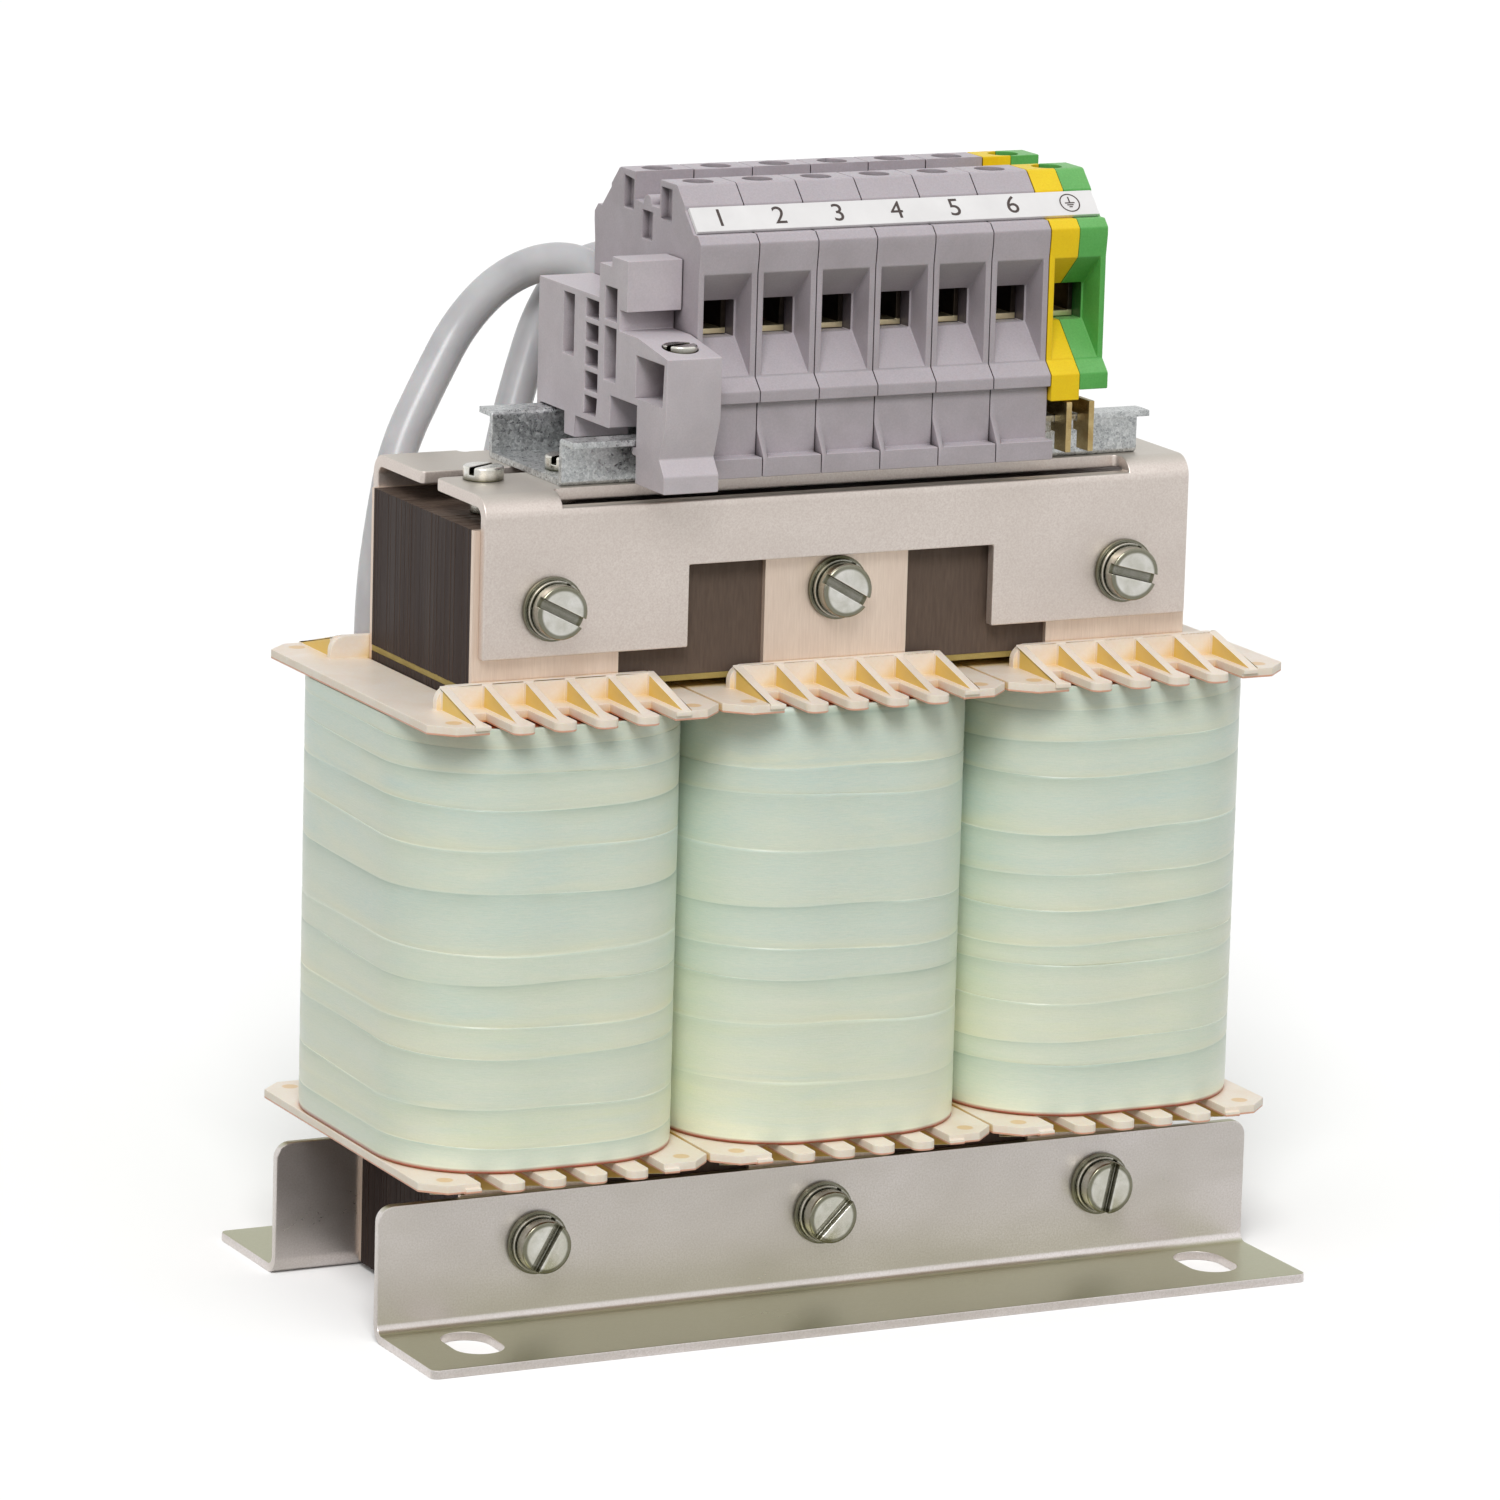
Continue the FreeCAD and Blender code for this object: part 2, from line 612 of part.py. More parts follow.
def bobbin(name, side):
    """A moulded bobbin with a square tube, two fingered flanges and stiffened collars."""
    body = new_body(f"bobbin_{name}", x=f"{side}*{LIMB_PITCH}", z=BOBBIN_BASE)
    tube = new_sketch(body, "XY_Plane")
    add_rectangle(tube, f"-{TUBE_HALF_WIDTH}", f"-{TUBE_HALF_DEPTH}", TUBE_HALF_WIDTH, TUBE_HALF_DEPTH)
    pad(body, tube, "bobbin_height")
    quarter = ((FLANGE_HALF_WIDTH, "flange_side_reach"),
               (f"{FLANGE_HALF_WIDTH} - flange_corner_cut", "flange_corner_reach"),
               (OUTER_FINGER, "flange_corner_reach"), (OUTER_FINGER, "finger_reach"))
    front = tuple((f"-({x})", f"-({y})") for x, y in quarter)
    front += tuple((x, f"-({y})") for x, y in reversed(quarter))
    rear = quarter + tuple((f"-({x})", y) for x, y in reversed(quarter))
    for level in ("0", "bobbin_height - flange_sheet"):
        flange = new_sketch(body, "XY_Plane", level)
        add_outline(flange, front + rear)
        pad(body, flange, "flange_sheet")
    for face in (-1, 1):
        collar(body, face)
    notches = new_sketch(body, "XY_Plane")
    for place in GUSSET_GAPS:
        left = f"(({place} - 0.5)*gusset_pitch + finger_width/2)"
        right = f"(({place} + 0.5)*gusset_pitch - finger_width/2)"
        add_rectangle(notches, left, "-2*finger_reach", right, "-finger_root")
        add_rectangle(notches, left, "finger_root", right, "2*finger_reach")
    pocket(body, notches, "bobbin_height", reverse=True)
    round_edges(body, "finger_tip_round",
                lambda at, way: along(way, 2) and near(abs(at.y), "finger_reach"))
    bore = new_sketch(body, "XY_Plane", "-collar_height")
    add_rectangle(bore, f"-({TUBE_HALF_WIDTH} - bobbin_wall)", f"-({TUBE_HALF_DEPTH} - bobbin_wall)",
                  f"{TUBE_HALF_WIDTH} - bobbin_wall", f"{TUBE_HALF_DEPTH} - bobbin_wall")
    pocket(body, bore, "bobbin_height + 2*collar_height", reverse=True)


def collar(body, face):
    """The upright walls beyond both flanges, with their gussets standing on the fingers."""
    wall = new_sketch(body, "XZ_Plane", f"{-face}*({COLLAR_FACE} - collar_sheet/2)")
    crest = "(bobbin_height + collar_height)"
    add_rectangle(wall, "-collar_width/2", "-collar_height", "collar_width/2", "flange_sheet")
    add_rectangle(wall, "-collar_width/2", "bobbin_height - flange_sheet", "collar_width/2", crest)
    pad(body, wall, "collar_sheet", symmetric=True)
    round_edges(body, "collar_round",
                lambda at, way: along(way, 1) and at.y*face > 0 and near(abs(at.x), "collar_width/2")
                and (near(at.z, crest) or near(at.z, "-collar_height")))
    wedge = new_sketch(body, "YZ_Plane")
    foot, root = f"{face}*gusset_reach", f"{face}*({COLLAR_FACE} - collar_sheet/2)"
    add_outline(wedge, ((root, "flange_sheet"), (foot, "flange_sheet/2"), (foot, "0"),
                        (root, "-collar_height")))
    add_outline(wedge, ((root, "bobbin_height - flange_sheet"), (foot, "bobbin_height - flange_sheet/2"),
                        (foot, "bobbin_height"), (root, crest)))
    pad(body, wedge, f"{FINGERS - 1}*gusset_pitch + gusset_sheet", symmetric=True)
    gaps = new_sketch(body, "XZ_Plane", f"{-face}*gusset_reach")
    for place in GUSSET_GAPS:
        left, right = (f"({place} {side} 0.5)*gusset_pitch" for side in "-+")
        for base, top in (("-collar_height", "0"), ("bobbin_height", crest)):
            add_rectangle(gaps, f"{left} + gusset_sheet/2", base, f"{right} - gusset_sheet/2", top)
    pocket(body, gaps, f"gusset_reach - {COLLAR_FACE}", reverse=face > 0)
    if face > 0:
        ways = new_sketch(body, "XY_Plane", crest)
        for hand in (-1, 1):
            add_rectangle(ways, f"{hand}*(0.5*gusset_pitch + finger_width/2)", LEAD_GAP_ROOT,
                          f"{hand}*{OUTER_FINGER}", "2*finger_reach")
        pocket(body, ways, "collar_height + 2*flange_sheet")


def oval_ring(label, x, base, height, outside, inside):
    """An upright ring, its outside and inside each given as half width, half depth and corner."""
    body = new_body(label, x=x, z=base)
    outline = new_sketch(body, "XY_Plane")
    add_rounded_rectangle(outline, *outside)
    add_rounded_rectangle(outline, *inside)
    pad(body, outline, height)


def winding(name, side):
    """The copper winding on a bobbin and the tape wrapped round it."""
    x = f"{side}*{LIMB_PITCH}"
    base = f"({BOBBIN_BASE} + flange_sheet + winding_clearance)"
    height = "(bobbin_height - 2*flange_sheet - 2*winding_clearance)"
    outside = (WINDING_HALF_WIDTH, "winding_half_depth", "winding_corner")
    skin = tuple(f"{length} - wrap_thickness" for length in outside)
    core = (f"{TUBE_HALF_WIDTH} + winding_clearance", f"{TUBE_HALF_DEPTH} + winding_clearance",
            "winding_clearance")
    oval_ring(f"winding_{name}", x, base, height, skin, core)
    oval_ring(f"wrap_{name}", x, base, height, outside, skin)


# Clamping bolts

def cylinder(width, height, base=0.0):
    """A cylinder on the Z axis."""
    return Part.makeCylinder(width/2, height, FreeCAD.Vector(0, 0, base))


def slotted_screw(head_width, head_height, shank, length, slot_width, slot_depth, turn):
    """A slotted screw pointing down, its head standing on the origin."""
    head = cylinder(head_width, head_height)
    rim = [edge for edge in head.Edges if edge.Vertexes[0].Z > head_height/2 and edge.Closed]
    head = head.makeFillet(HEAD_ROUND*head_height, rim)
    slot = Part.makeBox(2*head_width, slot_width, slot_depth + head_height,
                        FreeCAD.Vector(-head_width, -slot_width/2, head_height - slot_depth))
    slot.rotate(FreeCAD.Vector(), FreeCAD.Vector(0, 0, 1), turn)
    return head.fuse(cylinder(shank, length, -length)).cut(slot).removeSplitter()


def ring(outer, inner, height):
    """A flat ring standing on the origin."""
    return cylinder(outer, height).cut(cylinder(inner, height))


def hexagon(width, height, bore):
    """A hexagonal nut standing on the origin, its width taken across the flats."""
    corner = FreeCAD.Vector(width/math.sqrt(3), 0, 0)
    corners = [FreeCAD.Rotation(FreeCAD.Vector(0, 0, 1), 60*step).multVec(corner) for step in range(7)]
    prism = Part.Face(Part.makePolygon(corners)).extrude(FreeCAD.Vector(0, 0, height))
    return prism.cut(cylinder(bore, height))


def facing(shape, x, y, z, front):
    """A shape whose axis is turned to point out of the front or the rear."""
    placed = shape.copy()
    placed.rotate(FreeCAD.Vector(), FreeCAD.Vector(1, 0, 0), 90 if front else -90)
    placed.translate(FreeCAD.Vector(x, y, z))
    return placed


def clamp_bolts():
    """Six bolts through both yokes with their washers, spring washers and nuts."""
    screws, washers, springs, nuts = [], [], [], []
    bore = size("bolt_size + bolt_clearance")
    washer_sheet, spring_height = size("washer_sheet"), size("spring_washer_height")
    for row, height in enumerate((size(LOWER_BOLT), size(UPPER_BOLT))):
        for (name, side), turn in zip(SIDES, HEAD_TURNS[row]):
            x = side*size(LIMB_PITCH)
            sheet_under = size("base_sheet") if row == 0 else abs(side)*size("bracket_sheet")
            face = size(PLATE_FACE) + sheet_under
            under_head = face + washer_sheet + spring_height
            length = under_head + face + washer_sheet + size("nut_height + bolt_tail")
            screw = slotted_screw(size("bolt_head_width"), size("bolt_head_height"), size("bolt_size"),
                                  length, size("bolt_slot_width"), size("bolt_slot_depth"), turn)
            screws.append(facing(screw, x, -under_head, height, True))
            washer = ring(size("washer_width"), bore, washer_sheet)
            washers.append(facing(washer, x, -face, height, True))
            washers.append(facing(washer, x, face, height, False))
            spring = ring(size("spring_washer_width"), bore, spring_height)
            springs.append(facing(spring, x, -face - washer_sheet, height, True))
            nut = hexagon(size("nut_width"), size("nut_height"), size("bolt_size"))
            nuts.append(facing(nut, x, face + washer_sheet, height, False))
    group("clamp_screws", screws)
    group("clamp_washers", washers)
    group("clamp_spring_washers", springs)
    group("clamp_nuts", nuts)


# Terminal rail

def din_rail():
    """The hat-shaped rail that carries the terminals."""
    body = new_body("din_rail", x="rail_shift", y="-rail_offset", z=SHELF_TOP)
    section = new_sketch(body, "YZ_Plane")
    half = (("rail_web_width/2 - rail_sheet", "rail_sheet"),
            ("rail_web_width/2 - rail_sheet", "rail_height"),
            ("rail_width/2", "rail_height"), ("rail_width/2", "rail_height - rail_sheet"),
            ("rail_web_width/2", "rail_height - rail_sheet"), ("rail_web_width/2", "0"))
    add_outline(section, half + tuple((f"-({y})", z) for y, z in reversed(half)))
    pad(body, section, "rail_length", symmetric=True)
    round_edges(body, "rail_bend",
                lambda at, way: along(way, 0) and (near(at.z, "0") or near(at.z, "rail_height")
                                                   and near(abs(at.y), "rail_web_width/2 - rail_sheet")))
    holes = new_sketch(body, "XY_Plane")
    for end, reach in ((-1, "rail_offset - rail_screw_reach"), (1, "rail_offset + rail_screw_reach")):
        add_circle(holes, f"{end}*{RAIL_SCREW_X}", reach, "rail_screw_size/2 + screw_hole_clearance")
    pocket(body, holes, "rail_sheet", reverse=True)


def small_screws():
    """The two screws that hold the rail on the brackets and the one for the earth lead."""
    screw = slotted_screw(size("rail_screw_head_width"), size("rail_screw_head_height"),
                          size("rail_screw_size"), size("rail_screw_length"),
                          size("clamp_screw_slot_width"), size("clamp_screw_slot_depth"), RAIL_SCREW_TURN)
    on_rail = []
    for end in (-1, 1):
        copy = screw.copy()
        copy.translate(FreeCAD.Vector(size(f"rail_shift + {end}*{RAIL_SCREW_X}"),
                                      size(f"{end}*rail_screw_reach"), size(f"{SHELF_TOP} + rail_sheet")))
        on_rail.append(copy)
    group("rail_screws", on_rail)
    copy = screw.copy()
    copy.translate(FreeCAD.Vector(size(EARTH_SCREW_X), size(EARTH_SCREW_Y), size(SHELF_TOP)))
    group("earth_screw", [copy])


# Terminals

def upper_half():
    """The front half of a terminal's outline, from the valley down to the lower lip."""
    seat_top = "(terminal_height - shoulder_drop)"
    seat_end = "(shoulder_reach + label_seat)"
    lip_top = f"({seat_top} - label_step - label_seat)"
    lip_edge = f"({seat_end} + lip_sheet)"
    lip_front = f"({lip_top} - lip_reach + {lip_edge})"
    return (("tower_inner", "terminal_height - valley_depth"), ("tower_inner", "terminal_height"),
            ("tower_outer", "terminal_height"), ("shoulder_reach", seat_top),
            ("shoulder_reach", f"{seat_top} - label_step"), (seat_end, lip_top), (lip_edge, lip_top),
            ("lip_reach", lip_front), ("lip_reach", f"{lip_front} - lip_rise"),
            ("funnel_reach", "funnel_top"),
            ("funnel_reach", "ramp_height + ramp_reach - funnel_reach"), ("ramp_reach", "ramp_height"))


def mirrored(half):
    """A closed outline from one half of it."""
    return half + tuple((f"-({y})", z) for y, z in reversed(half))


def hook_half():
    """The inner edge of a foot that clips under the rail's flange."""
    return ((FOOT_INNER, f"{HOOK_TOP} - hook_height"),
            (f"{FOOT_INNER} - hook_bite", f"{HOOK_TOP} - hook_height"),
            (f"{FOOT_INNER} - hook_bite", HOOK_TOP), (FOOT_INNER, HOOK_TOP), (FOOT_INNER, UNDERSIDE))


def cut_terminal(body):
    """The wire funnels, sockets, cage rooms and screw shafts on both sides of a terminal."""
    funnel = new_sketch(body, "YZ_Plane")
    room = new_sketch(body, "YZ_Plane")
    opening_top = "(socket_floor + socket_height)"
    for side in (-1, 1):
        beyond = "2*ramp_reach"
        corners = (("funnel_reach", "funnel_top"), ("socket_reach", opening_top),
                   ("socket_reach", "socket_floor"), ("ramp_reach", "ramp_height"),
                   (beyond, "ramp_height"), (beyond, "funnel_top"))
        add_outline(funnel, tuple((f"{side}*({y})", z) for y, z in corners))
        corners = ((f"{CAGE_REAR} - cage_clearance", "socket_floor"), ("socket_reach", "socket_floor"),
                   ("socket_reach", opening_top), (f"{CAGE_FRONT} + cage_clearance", opening_top),
                   (f"{CAGE_FRONT} + cage_clearance", SOCKET_TOP),
                   (f"{CAGE_REAR} - cage_clearance", SOCKET_TOP))
        add_outline(room, tuple((f"{side}*({y})", z) for y, z in corners))
    pocket(body, funnel, "terminal_width - terminal_gap - 2*partition_sheet", symmetric=True)
    pocket(body, room, "socket_width", symmetric=True)
    shafts = new_sketch(body, "XY_Plane", "terminal_height")
    for side in (-1, 1):
        add_circle(shafts, "0", f"{side}*shaft_reach", "shaft_width/2")
    pocket(body, shafts, f"terminal_height - {SOCKET_TOP} + cage_clearance")


def bar_room(body, base):
    """The way through the middle wall for the current bar, from a given height up."""
    way = new_sketch(body, "YZ_Plane")
    add_rectangle(way, f"-{CAGE_REAR}", base, CAGE_REAR, f"{BAR_TOP} + cage_clearance")
    pocket(body, way, "bar_width + 2*cage_clearance", symmetric=True)


def side_recesses(body):
    """Shallow recesses in the left side that take the next terminal's pegs."""
    sunk = new_sketch(body, "YZ_Plane", "(terminal_gap - terminal_width)/2")
    top = "(terminal_height - recess_drop)"
    for side in (-1, 1):
        add_rectangle(sunk, f"{side}*recess_reach", f"{top} - recess_height",
                      f"{side}*(recess_reach + recess_width)", top)
    add_rectangle(sunk, "-recess_width/2", f"{top} - recess_height - valley_depth + recess_drop/2",
                  "recess_width/2", f"{top} - valley_depth")
    pocket(body, sunk, "recess_depth", reverse=True)


def valley_rib(body, width, **placing):
    """The rounded rib along the bottom of the valley between the towers."""
    rib = new_sketch(body, "YZ_Plane")
    add_circle(rib, "0", "terminal_height - valley_depth", "valley_rib_radius")
    pad(body, rib, width, **placing)


def terminal_place(number):
    """The X place of a terminal in the row, counted from one."""
    return f"(({number} - 0.5)*terminal_width - terminal_row_start)"


def terminal_housing(number):
    """A grey feed-through terminal housing that clips on the rail."""
    body = new_body(f"terminal_housing_{number}", x=terminal_place(number), y="-rail_offset", z=SHELF_TOP)
    width = "terminal_width - terminal_gap"
    lower = (("ramp_reach", "ramp_height - ramp_lip"), ("skirt_reach", "ramp_height - ramp_lip"),
             ("skirt_reach", "ledge_height"), ("ledge_reach", "ledge_height"), ("ledge_reach", "foot_base"),
             (FOOT_INNER, "foot_base"))
    outline = new_sketch(body, "YZ_Plane")
    add_outline(outline, mirrored(upper_half() + lower + hook_half()))
    pad(body, outline, width, symmetric=True)
    round_edges(body, "tower_round",
                lambda at, way: along(way, 0) and near(at.z, "terminal_height")
                and near(abs(at.y), "tower_outer"))
    valley_rib(body, width, symmetric=True)
    cut_terminal(body)
    bar_room(body, f"{BAR_BASE} - cage_clearance")
    side_recesses(body)
    for side in (-1, 1):
        rib = new_sketch(body, "YZ_Plane", f"({width} - ledge_rib_sheet)/-2")
        add_outline(rib, ((f"{side}*(skirt_reach - ledge_rib_sheet)", "ledge_height"),
                          (f"{side}*ledge_reach", "ledge_height"),
                          (f"{side}*skirt_reach", "ledge_height + ledge_rib"),
                          (f"{side}*(skirt_reach - ledge_rib_sheet)", "ledge_height + ledge_rib")))
        pad(body, rib, "ledge_rib_sheet", symmetric=True)


def earth_shell(colour, side, base):
    """One half of the protective earth terminal's two-coloured housing."""
    body = new_body(f"pe_shell_{colour}", x=terminal_place(TERMINALS), y="-rail_offset", z=SHELF_TOP)
    half = "(terminal_width - terminal_gap)/2"
    outline = new_sketch(body, "YZ_Plane")
    add_outline(outline, mirrored(upper_half() + (("ramp_reach", base),)))
    pad(body, outline, half, reverse=side < 0)
    round_edges(body, "tower_round",
                lambda at, way: along(way, 0) and near(at.z, "terminal_height")
                and near(abs(at.y), "tower_outer"))
    valley_rib(body, half, reverse=side < 0)
    cut_terminal(body)
    bar_room(body, base)


def earth_foot():
    """The metal foot that joins the earth terminal's current bar to the rail."""
    body = new_body("pe_foot", x=terminal_place(TERMINALS), y="-rail_offset", z=SHELF_TOP)
    top = "(earth_shell_base - rail_clearance)"
    block = new_sketch(body, "YZ_Plane")
    add_rectangle(block, f"-{CAGE_FRONT}", UNDERSIDE, CAGE_FRONT, top)
    pad(body, block, "earth_leg_spacing + earth_leg_sheet", symmetric=True)
    reach = f"({FOOT_INNER} + earth_leg_depth)"
    legs = ((reach, top), (reach, "earth_leg_base"), (FOOT_INNER, "earth_leg_base")) + hook_half()
    for side in (-1, 1):
        leg = new_sketch(body, "YZ_Plane", f"{side}*earth_leg_spacing/2")
        add_outline(leg, mirrored(legs))
        pad(body, leg, "earth_leg_sheet", symmetric=True)
    post = new_sketch(body, "YZ_Plane")
    post_depth = f"({CAGE_REAR} - 2*cage_clearance)"
    add_rectangle(post, f"-{post_depth}", UNDERSIDE, post_depth, BAR_TOP)
    pad(body, post, "bar_width", symmetric=True)
    bar = new_sketch(body, "YZ_Plane")
    add_rectangle(bar, "-bar_half_length", BAR_BASE, "bar_half_length", BAR_TOP)
    pad(body, bar, "bar_width", symmetric=True)


def current_bar(number):
    """The bar that joins both sides of a terminal."""
    body = new_body(f"current_bar_{number}", x=terminal_place(number), y="-rail_offset", z=SHELF_TOP)
    bar = new_sketch(body, "YZ_Plane")
    add_rectangle(bar, "-bar_half_length", BAR_BASE, "bar_half_length", BAR_TOP)
    pad(body, bar, "bar_width", symmetric=True)


def terminal_cage():
    """A clamping cage, open to the front and the rear, standing on the origin."""
    width, depth, height = size("cage_width"), size("cage_depth"), size("cage_height")
    side_wall, floor, roof = size("cage_side"), size("cage_floor"), size("cage_roof")
    cage = Part.makeBox(width, depth, height, FreeCAD.Vector(-width/2, -depth/2, 0))
    window = Part.makeBox(width - 2*side_wall, 2*depth, height - floor - roof,
                          FreeCAD.Vector(side_wall - width/2, -depth, floor))
    return cage.cut(window).cut(cylinder(size("clamp_screw_size"), height, floor))


def terminal_clamps():
    """The cage and the screw on both sides of every terminal."""
    cage = terminal_cage()
    reach = size("clamp_screw_head_lift + cage_height") - size(f"{BAR_TOP} - {CAGE_BASE}")
    screw = slotted_screw(size("clamp_screw_head_width"), size("clamp_screw_head_height"),
                          size("clamp_screw_size"), reach, size("clamp_screw_slot_width"),
                          size("clamp_screw_slot_depth"), 0)
    cages, screws = [], []
    for number in range(1, TERMINALS + 1):
        for side in (-1, 1):
            place = FreeCAD.Vector(size(terminal_place(number)), size(f"{side}*shaft_reach - rail_offset"),
                                   size(f"{SHELF_TOP} + {CAGE_BASE}"))
            held = cage.copy()
            held.translate(place)
            cages.append(held)
            turned = screw.copy()
            turned.rotate(FreeCAD.Vector(), FreeCAD.Vector(0, 0, 1),
                          (CLAMP_SCREW_TURN*number + CLAMP_SIDE_TURN*side) % 180)
            turned.translate(place + FreeCAD.Vector(0, 0, size("cage_height + clamp_screw_head_lift")))
            screws.append(turned)
    group("terminal_cages", cages)
    group("terminal_screws", screws)


def label_strip():
    """The marking strip that lies in the sloping seat along the front of the row."""
    body = new_body("label_strip", x=f"-terminal_row_start + {TERMINALS}*terminal_width/2", y="-rail_offset",
                    z=SHELF_TOP)
    top = "(terminal_height - shoulder_drop - label_step)"
    strip = new_sketch(body, "YZ_Plane")
    rise = "label_sheet*sqrt(0.5)"
    add_outline(strip, (("-shoulder_reach", top), (f"-shoulder_reach - {rise}", f"{top} + {rise}"),
                        (f"-shoulder_reach - label_seat - {rise}", f"{top} - label_seat + {rise}"),
                        ("-shoulder_reach - label_seat", f"{top} - label_seat")))
    pad(body, strip, f"{TERMINALS}*terminal_width - 2*label_end_margin", symmetric=True)


# End clamp

def end_clamp():
    """The moulded clamp that keeps the row of terminals from sliding along the rail."""
    body = new_body("end_clamp", x="-(terminal_row_start + terminal_gap/2 + stop_width/2)", y="-rail_offset",
                    z=SHELF_TOP)
    outline = new_sketch(body, "YZ_Plane")
    step_edge = "-(stop_comb_front + stop_step_depth)"
    chin = "-(stop_face - stop_chin_depth)"
    prong_rear = "(stop_prong_front + stop_prong_width)"
    front = (("stop_rear", "stop_rear_top"), ("-stop_comb_front", "stop_rear_top"),
             ("-stop_comb_front", "stop_height - stop_step"), (step_edge, "stop_height - stop_step"),
             (step_edge, "stop_height"), ("-stop_face", "stop_height"), ("-stop_face", "stop_face_base"),
             (chin, "stop_face_base"), (chin, "stop_lobe_top"), ("-stop_arch_front", "stop_lobe_top"),
             ("-stop_lobe_front", "stop_lobe_top - stop_lobe_slope"), ("-stop_lobe_front", "stop_lobe_base"),
             ("-stop_shin", "stop_ankle"), ("-stop_toe", "stop_toe_height"), ("-stop_toe", "stop_toe_base"),
             (f"-{FOOT_INNER}", "stop_toe_base"))
    hooks = tuple((f"-({y})", z) for y, z in hook_half())
    under = ((f"-{FOOT_INNER}", "stop_arch_top"), ("-stop_arch_rear", "stop_arch_top"),
             ("-stop_arch_rear", UNDERSIDE), ("stop_prong_front", UNDERSIDE),
             ("stop_prong_front", "stop_prong_base"), (prong_rear, "stop_prong_base"),
             (prong_rear, UNDERSIDE))
    rear = tuple(reversed(hook_half())) + (("stop_rear", f"{HOOK_TOP} - hook_height"),)
    add_outline(outline, front + hooks[:-1] + under + rear)
    pad(body, outline, "stop_width", symmetric=True)
    clamp_pockets(body)


def clamp_pockets(body):
    """The moulded hollows in the clamp's left side and the bore for its screw."""
    hollow = new_sketch(body, "YZ_Plane", "-stop_width/2")
    middle = "(stop_arch_top + stop_wall)"
    lobe_roof = "(stop_lobe_top - stop_lobe_slope - stop_wall)"
    upper = "(stop_lobe_top + stop_wall)"
    inset = "(stop_comb_front + 2*stop_wall)"
    outset = "(stop_face - stop_chin_depth - stop_wall)"
    add_rectangle(hollow, "-(stop_lobe_front - stop_wall)", middle, "-stop_arch_front", lobe_roof)
    add_rectangle(hollow, f"-{outset}", f"{middle} + stop_wall", f"-{inset}", "stop_lobe_top")
    add_rectangle(hollow, f"-{outset}", upper, f"-{inset}", f"{upper} + stop_upper_pocket")
    add_rectangle(hollow, "stop_prong_front + stop_wall", "stop_arch_top + stop_prong_width",
                  "stop_prong_front + stop_prong_width + stop_wall", "stop_rear_top - stop_wall")
    pocket(body, hollow, "stop_pocket_depth", reverse=True)
    comb = new_sketch(body, "YZ_Plane", "-stop_width/2")
    pitch = f"((stop_rear_top - {UNDERSIDE} - stop_rib_sheet)/{COMB_GAPS})"
    for step in range(COMB_GAPS):
        base = f"({UNDERSIDE} + stop_rib_sheet + {step}*{pitch})"
        add_rectangle(comb, "-stop_comb_front", base, "stop_comb_rear", f"{base} + {pitch} - stop_rib_sheet")
    pocket(body, comb, "stop_pocket_depth", reverse=True)
    bore = new_sketch(body, "XY_Plane", "stop_lobe_top")
    add_circle(bore, "0", "-stop_screw_reach", "stop_screw_shank/2 + screw_hole_clearance")
    pocket(body, bore, f"{STOP_SEAT} + stop_screw_length + screw_hole_clearance")
    seat = new_sketch(body, "XY_Plane", "stop_lobe_top")
    add_circle(seat, "0", "-stop_screw_reach", "stop_screw_width/2 + screw_hole_clearance")
    pocket(body, seat, STOP_SEAT)


def end_clamp_screw():
    """The screw that tightens the end clamp's foot on the rail."""
    screw = slotted_screw(size("stop_screw_width"), size("stop_screw_height"), size("stop_screw_shank"),
                          size("stop_screw_length"), size("clamp_screw_slot_width"),
                          size("clamp_screw_slot_depth"), STOP_SCREW_TURN)
    screw.translate(FreeCAD.Vector(size("-(terminal_row_start + terminal_gap/2 + stop_width/2)"),
                                   size("-stop_screw_reach - rail_offset"),
                                   size(f"{SHELF_TOP} + stop_lobe_top - {STOP_SEAT}")))
    group("end_clamp_screw", [screw])


# Leads

def tube_path(points):
    """Straight runs joined by tangent arcs, each as large as its two runs allow, and their radii."""
    edges, radii = [], []
    start = points[0]
    for before, corner, after in zip(points, points[1:], points[2:]):
        way_in, way_out = (corner - before).normalize(), (after - corner).normalize()
        half_turn = way_in.getAngle(way_out)/2
        reach = ARC_SHARE*min((corner - before).Length, (after - corner).Length)
        radii.append(reach/math.tan(half_turn))
        first, last = corner - way_in*reach, corner + way_out*reach
        inward = (way_out - way_in).normalize()
        middle = corner + inward*(radii[-1]/math.cos(half_turn) - radii[-1])
        edges.append(Part.LineSegment(start, first).toShape())
        edges.append(Part.Arc(first, middle, last).toShape())
        start = last
    edges.append(Part.LineSegment(start, points[-1]).toShape())
    return Part.Wire(edges), radii


def lead_points(number, side, hand, shares):
    """The corner points of a lead's route, from the top of its winding to the rear of a terminal."""
    start = size(f"{side}*{LIMB_PITCH} + {hand}*lead_offset")
    across = size(terminal_place(number)) - start
    depth, low, high = size("lead_depth"), size(WINDING_TOP), size(WIRE_HEIGHT)
    end = size("lead_stop - rail_offset")
    points = [FreeCAD.Vector(start + share*across, depth + bulge, low + rise*(high - low))
              for share, bulge, rise in zip(shares, LEAD_BULGE, LEAD_RISE)]
    points.append(FreeCAD.Vector(start + across, end + size("lead_last_run"), high))
    points.append(FreeCAD.Vector(start + across, end, high))
    return points


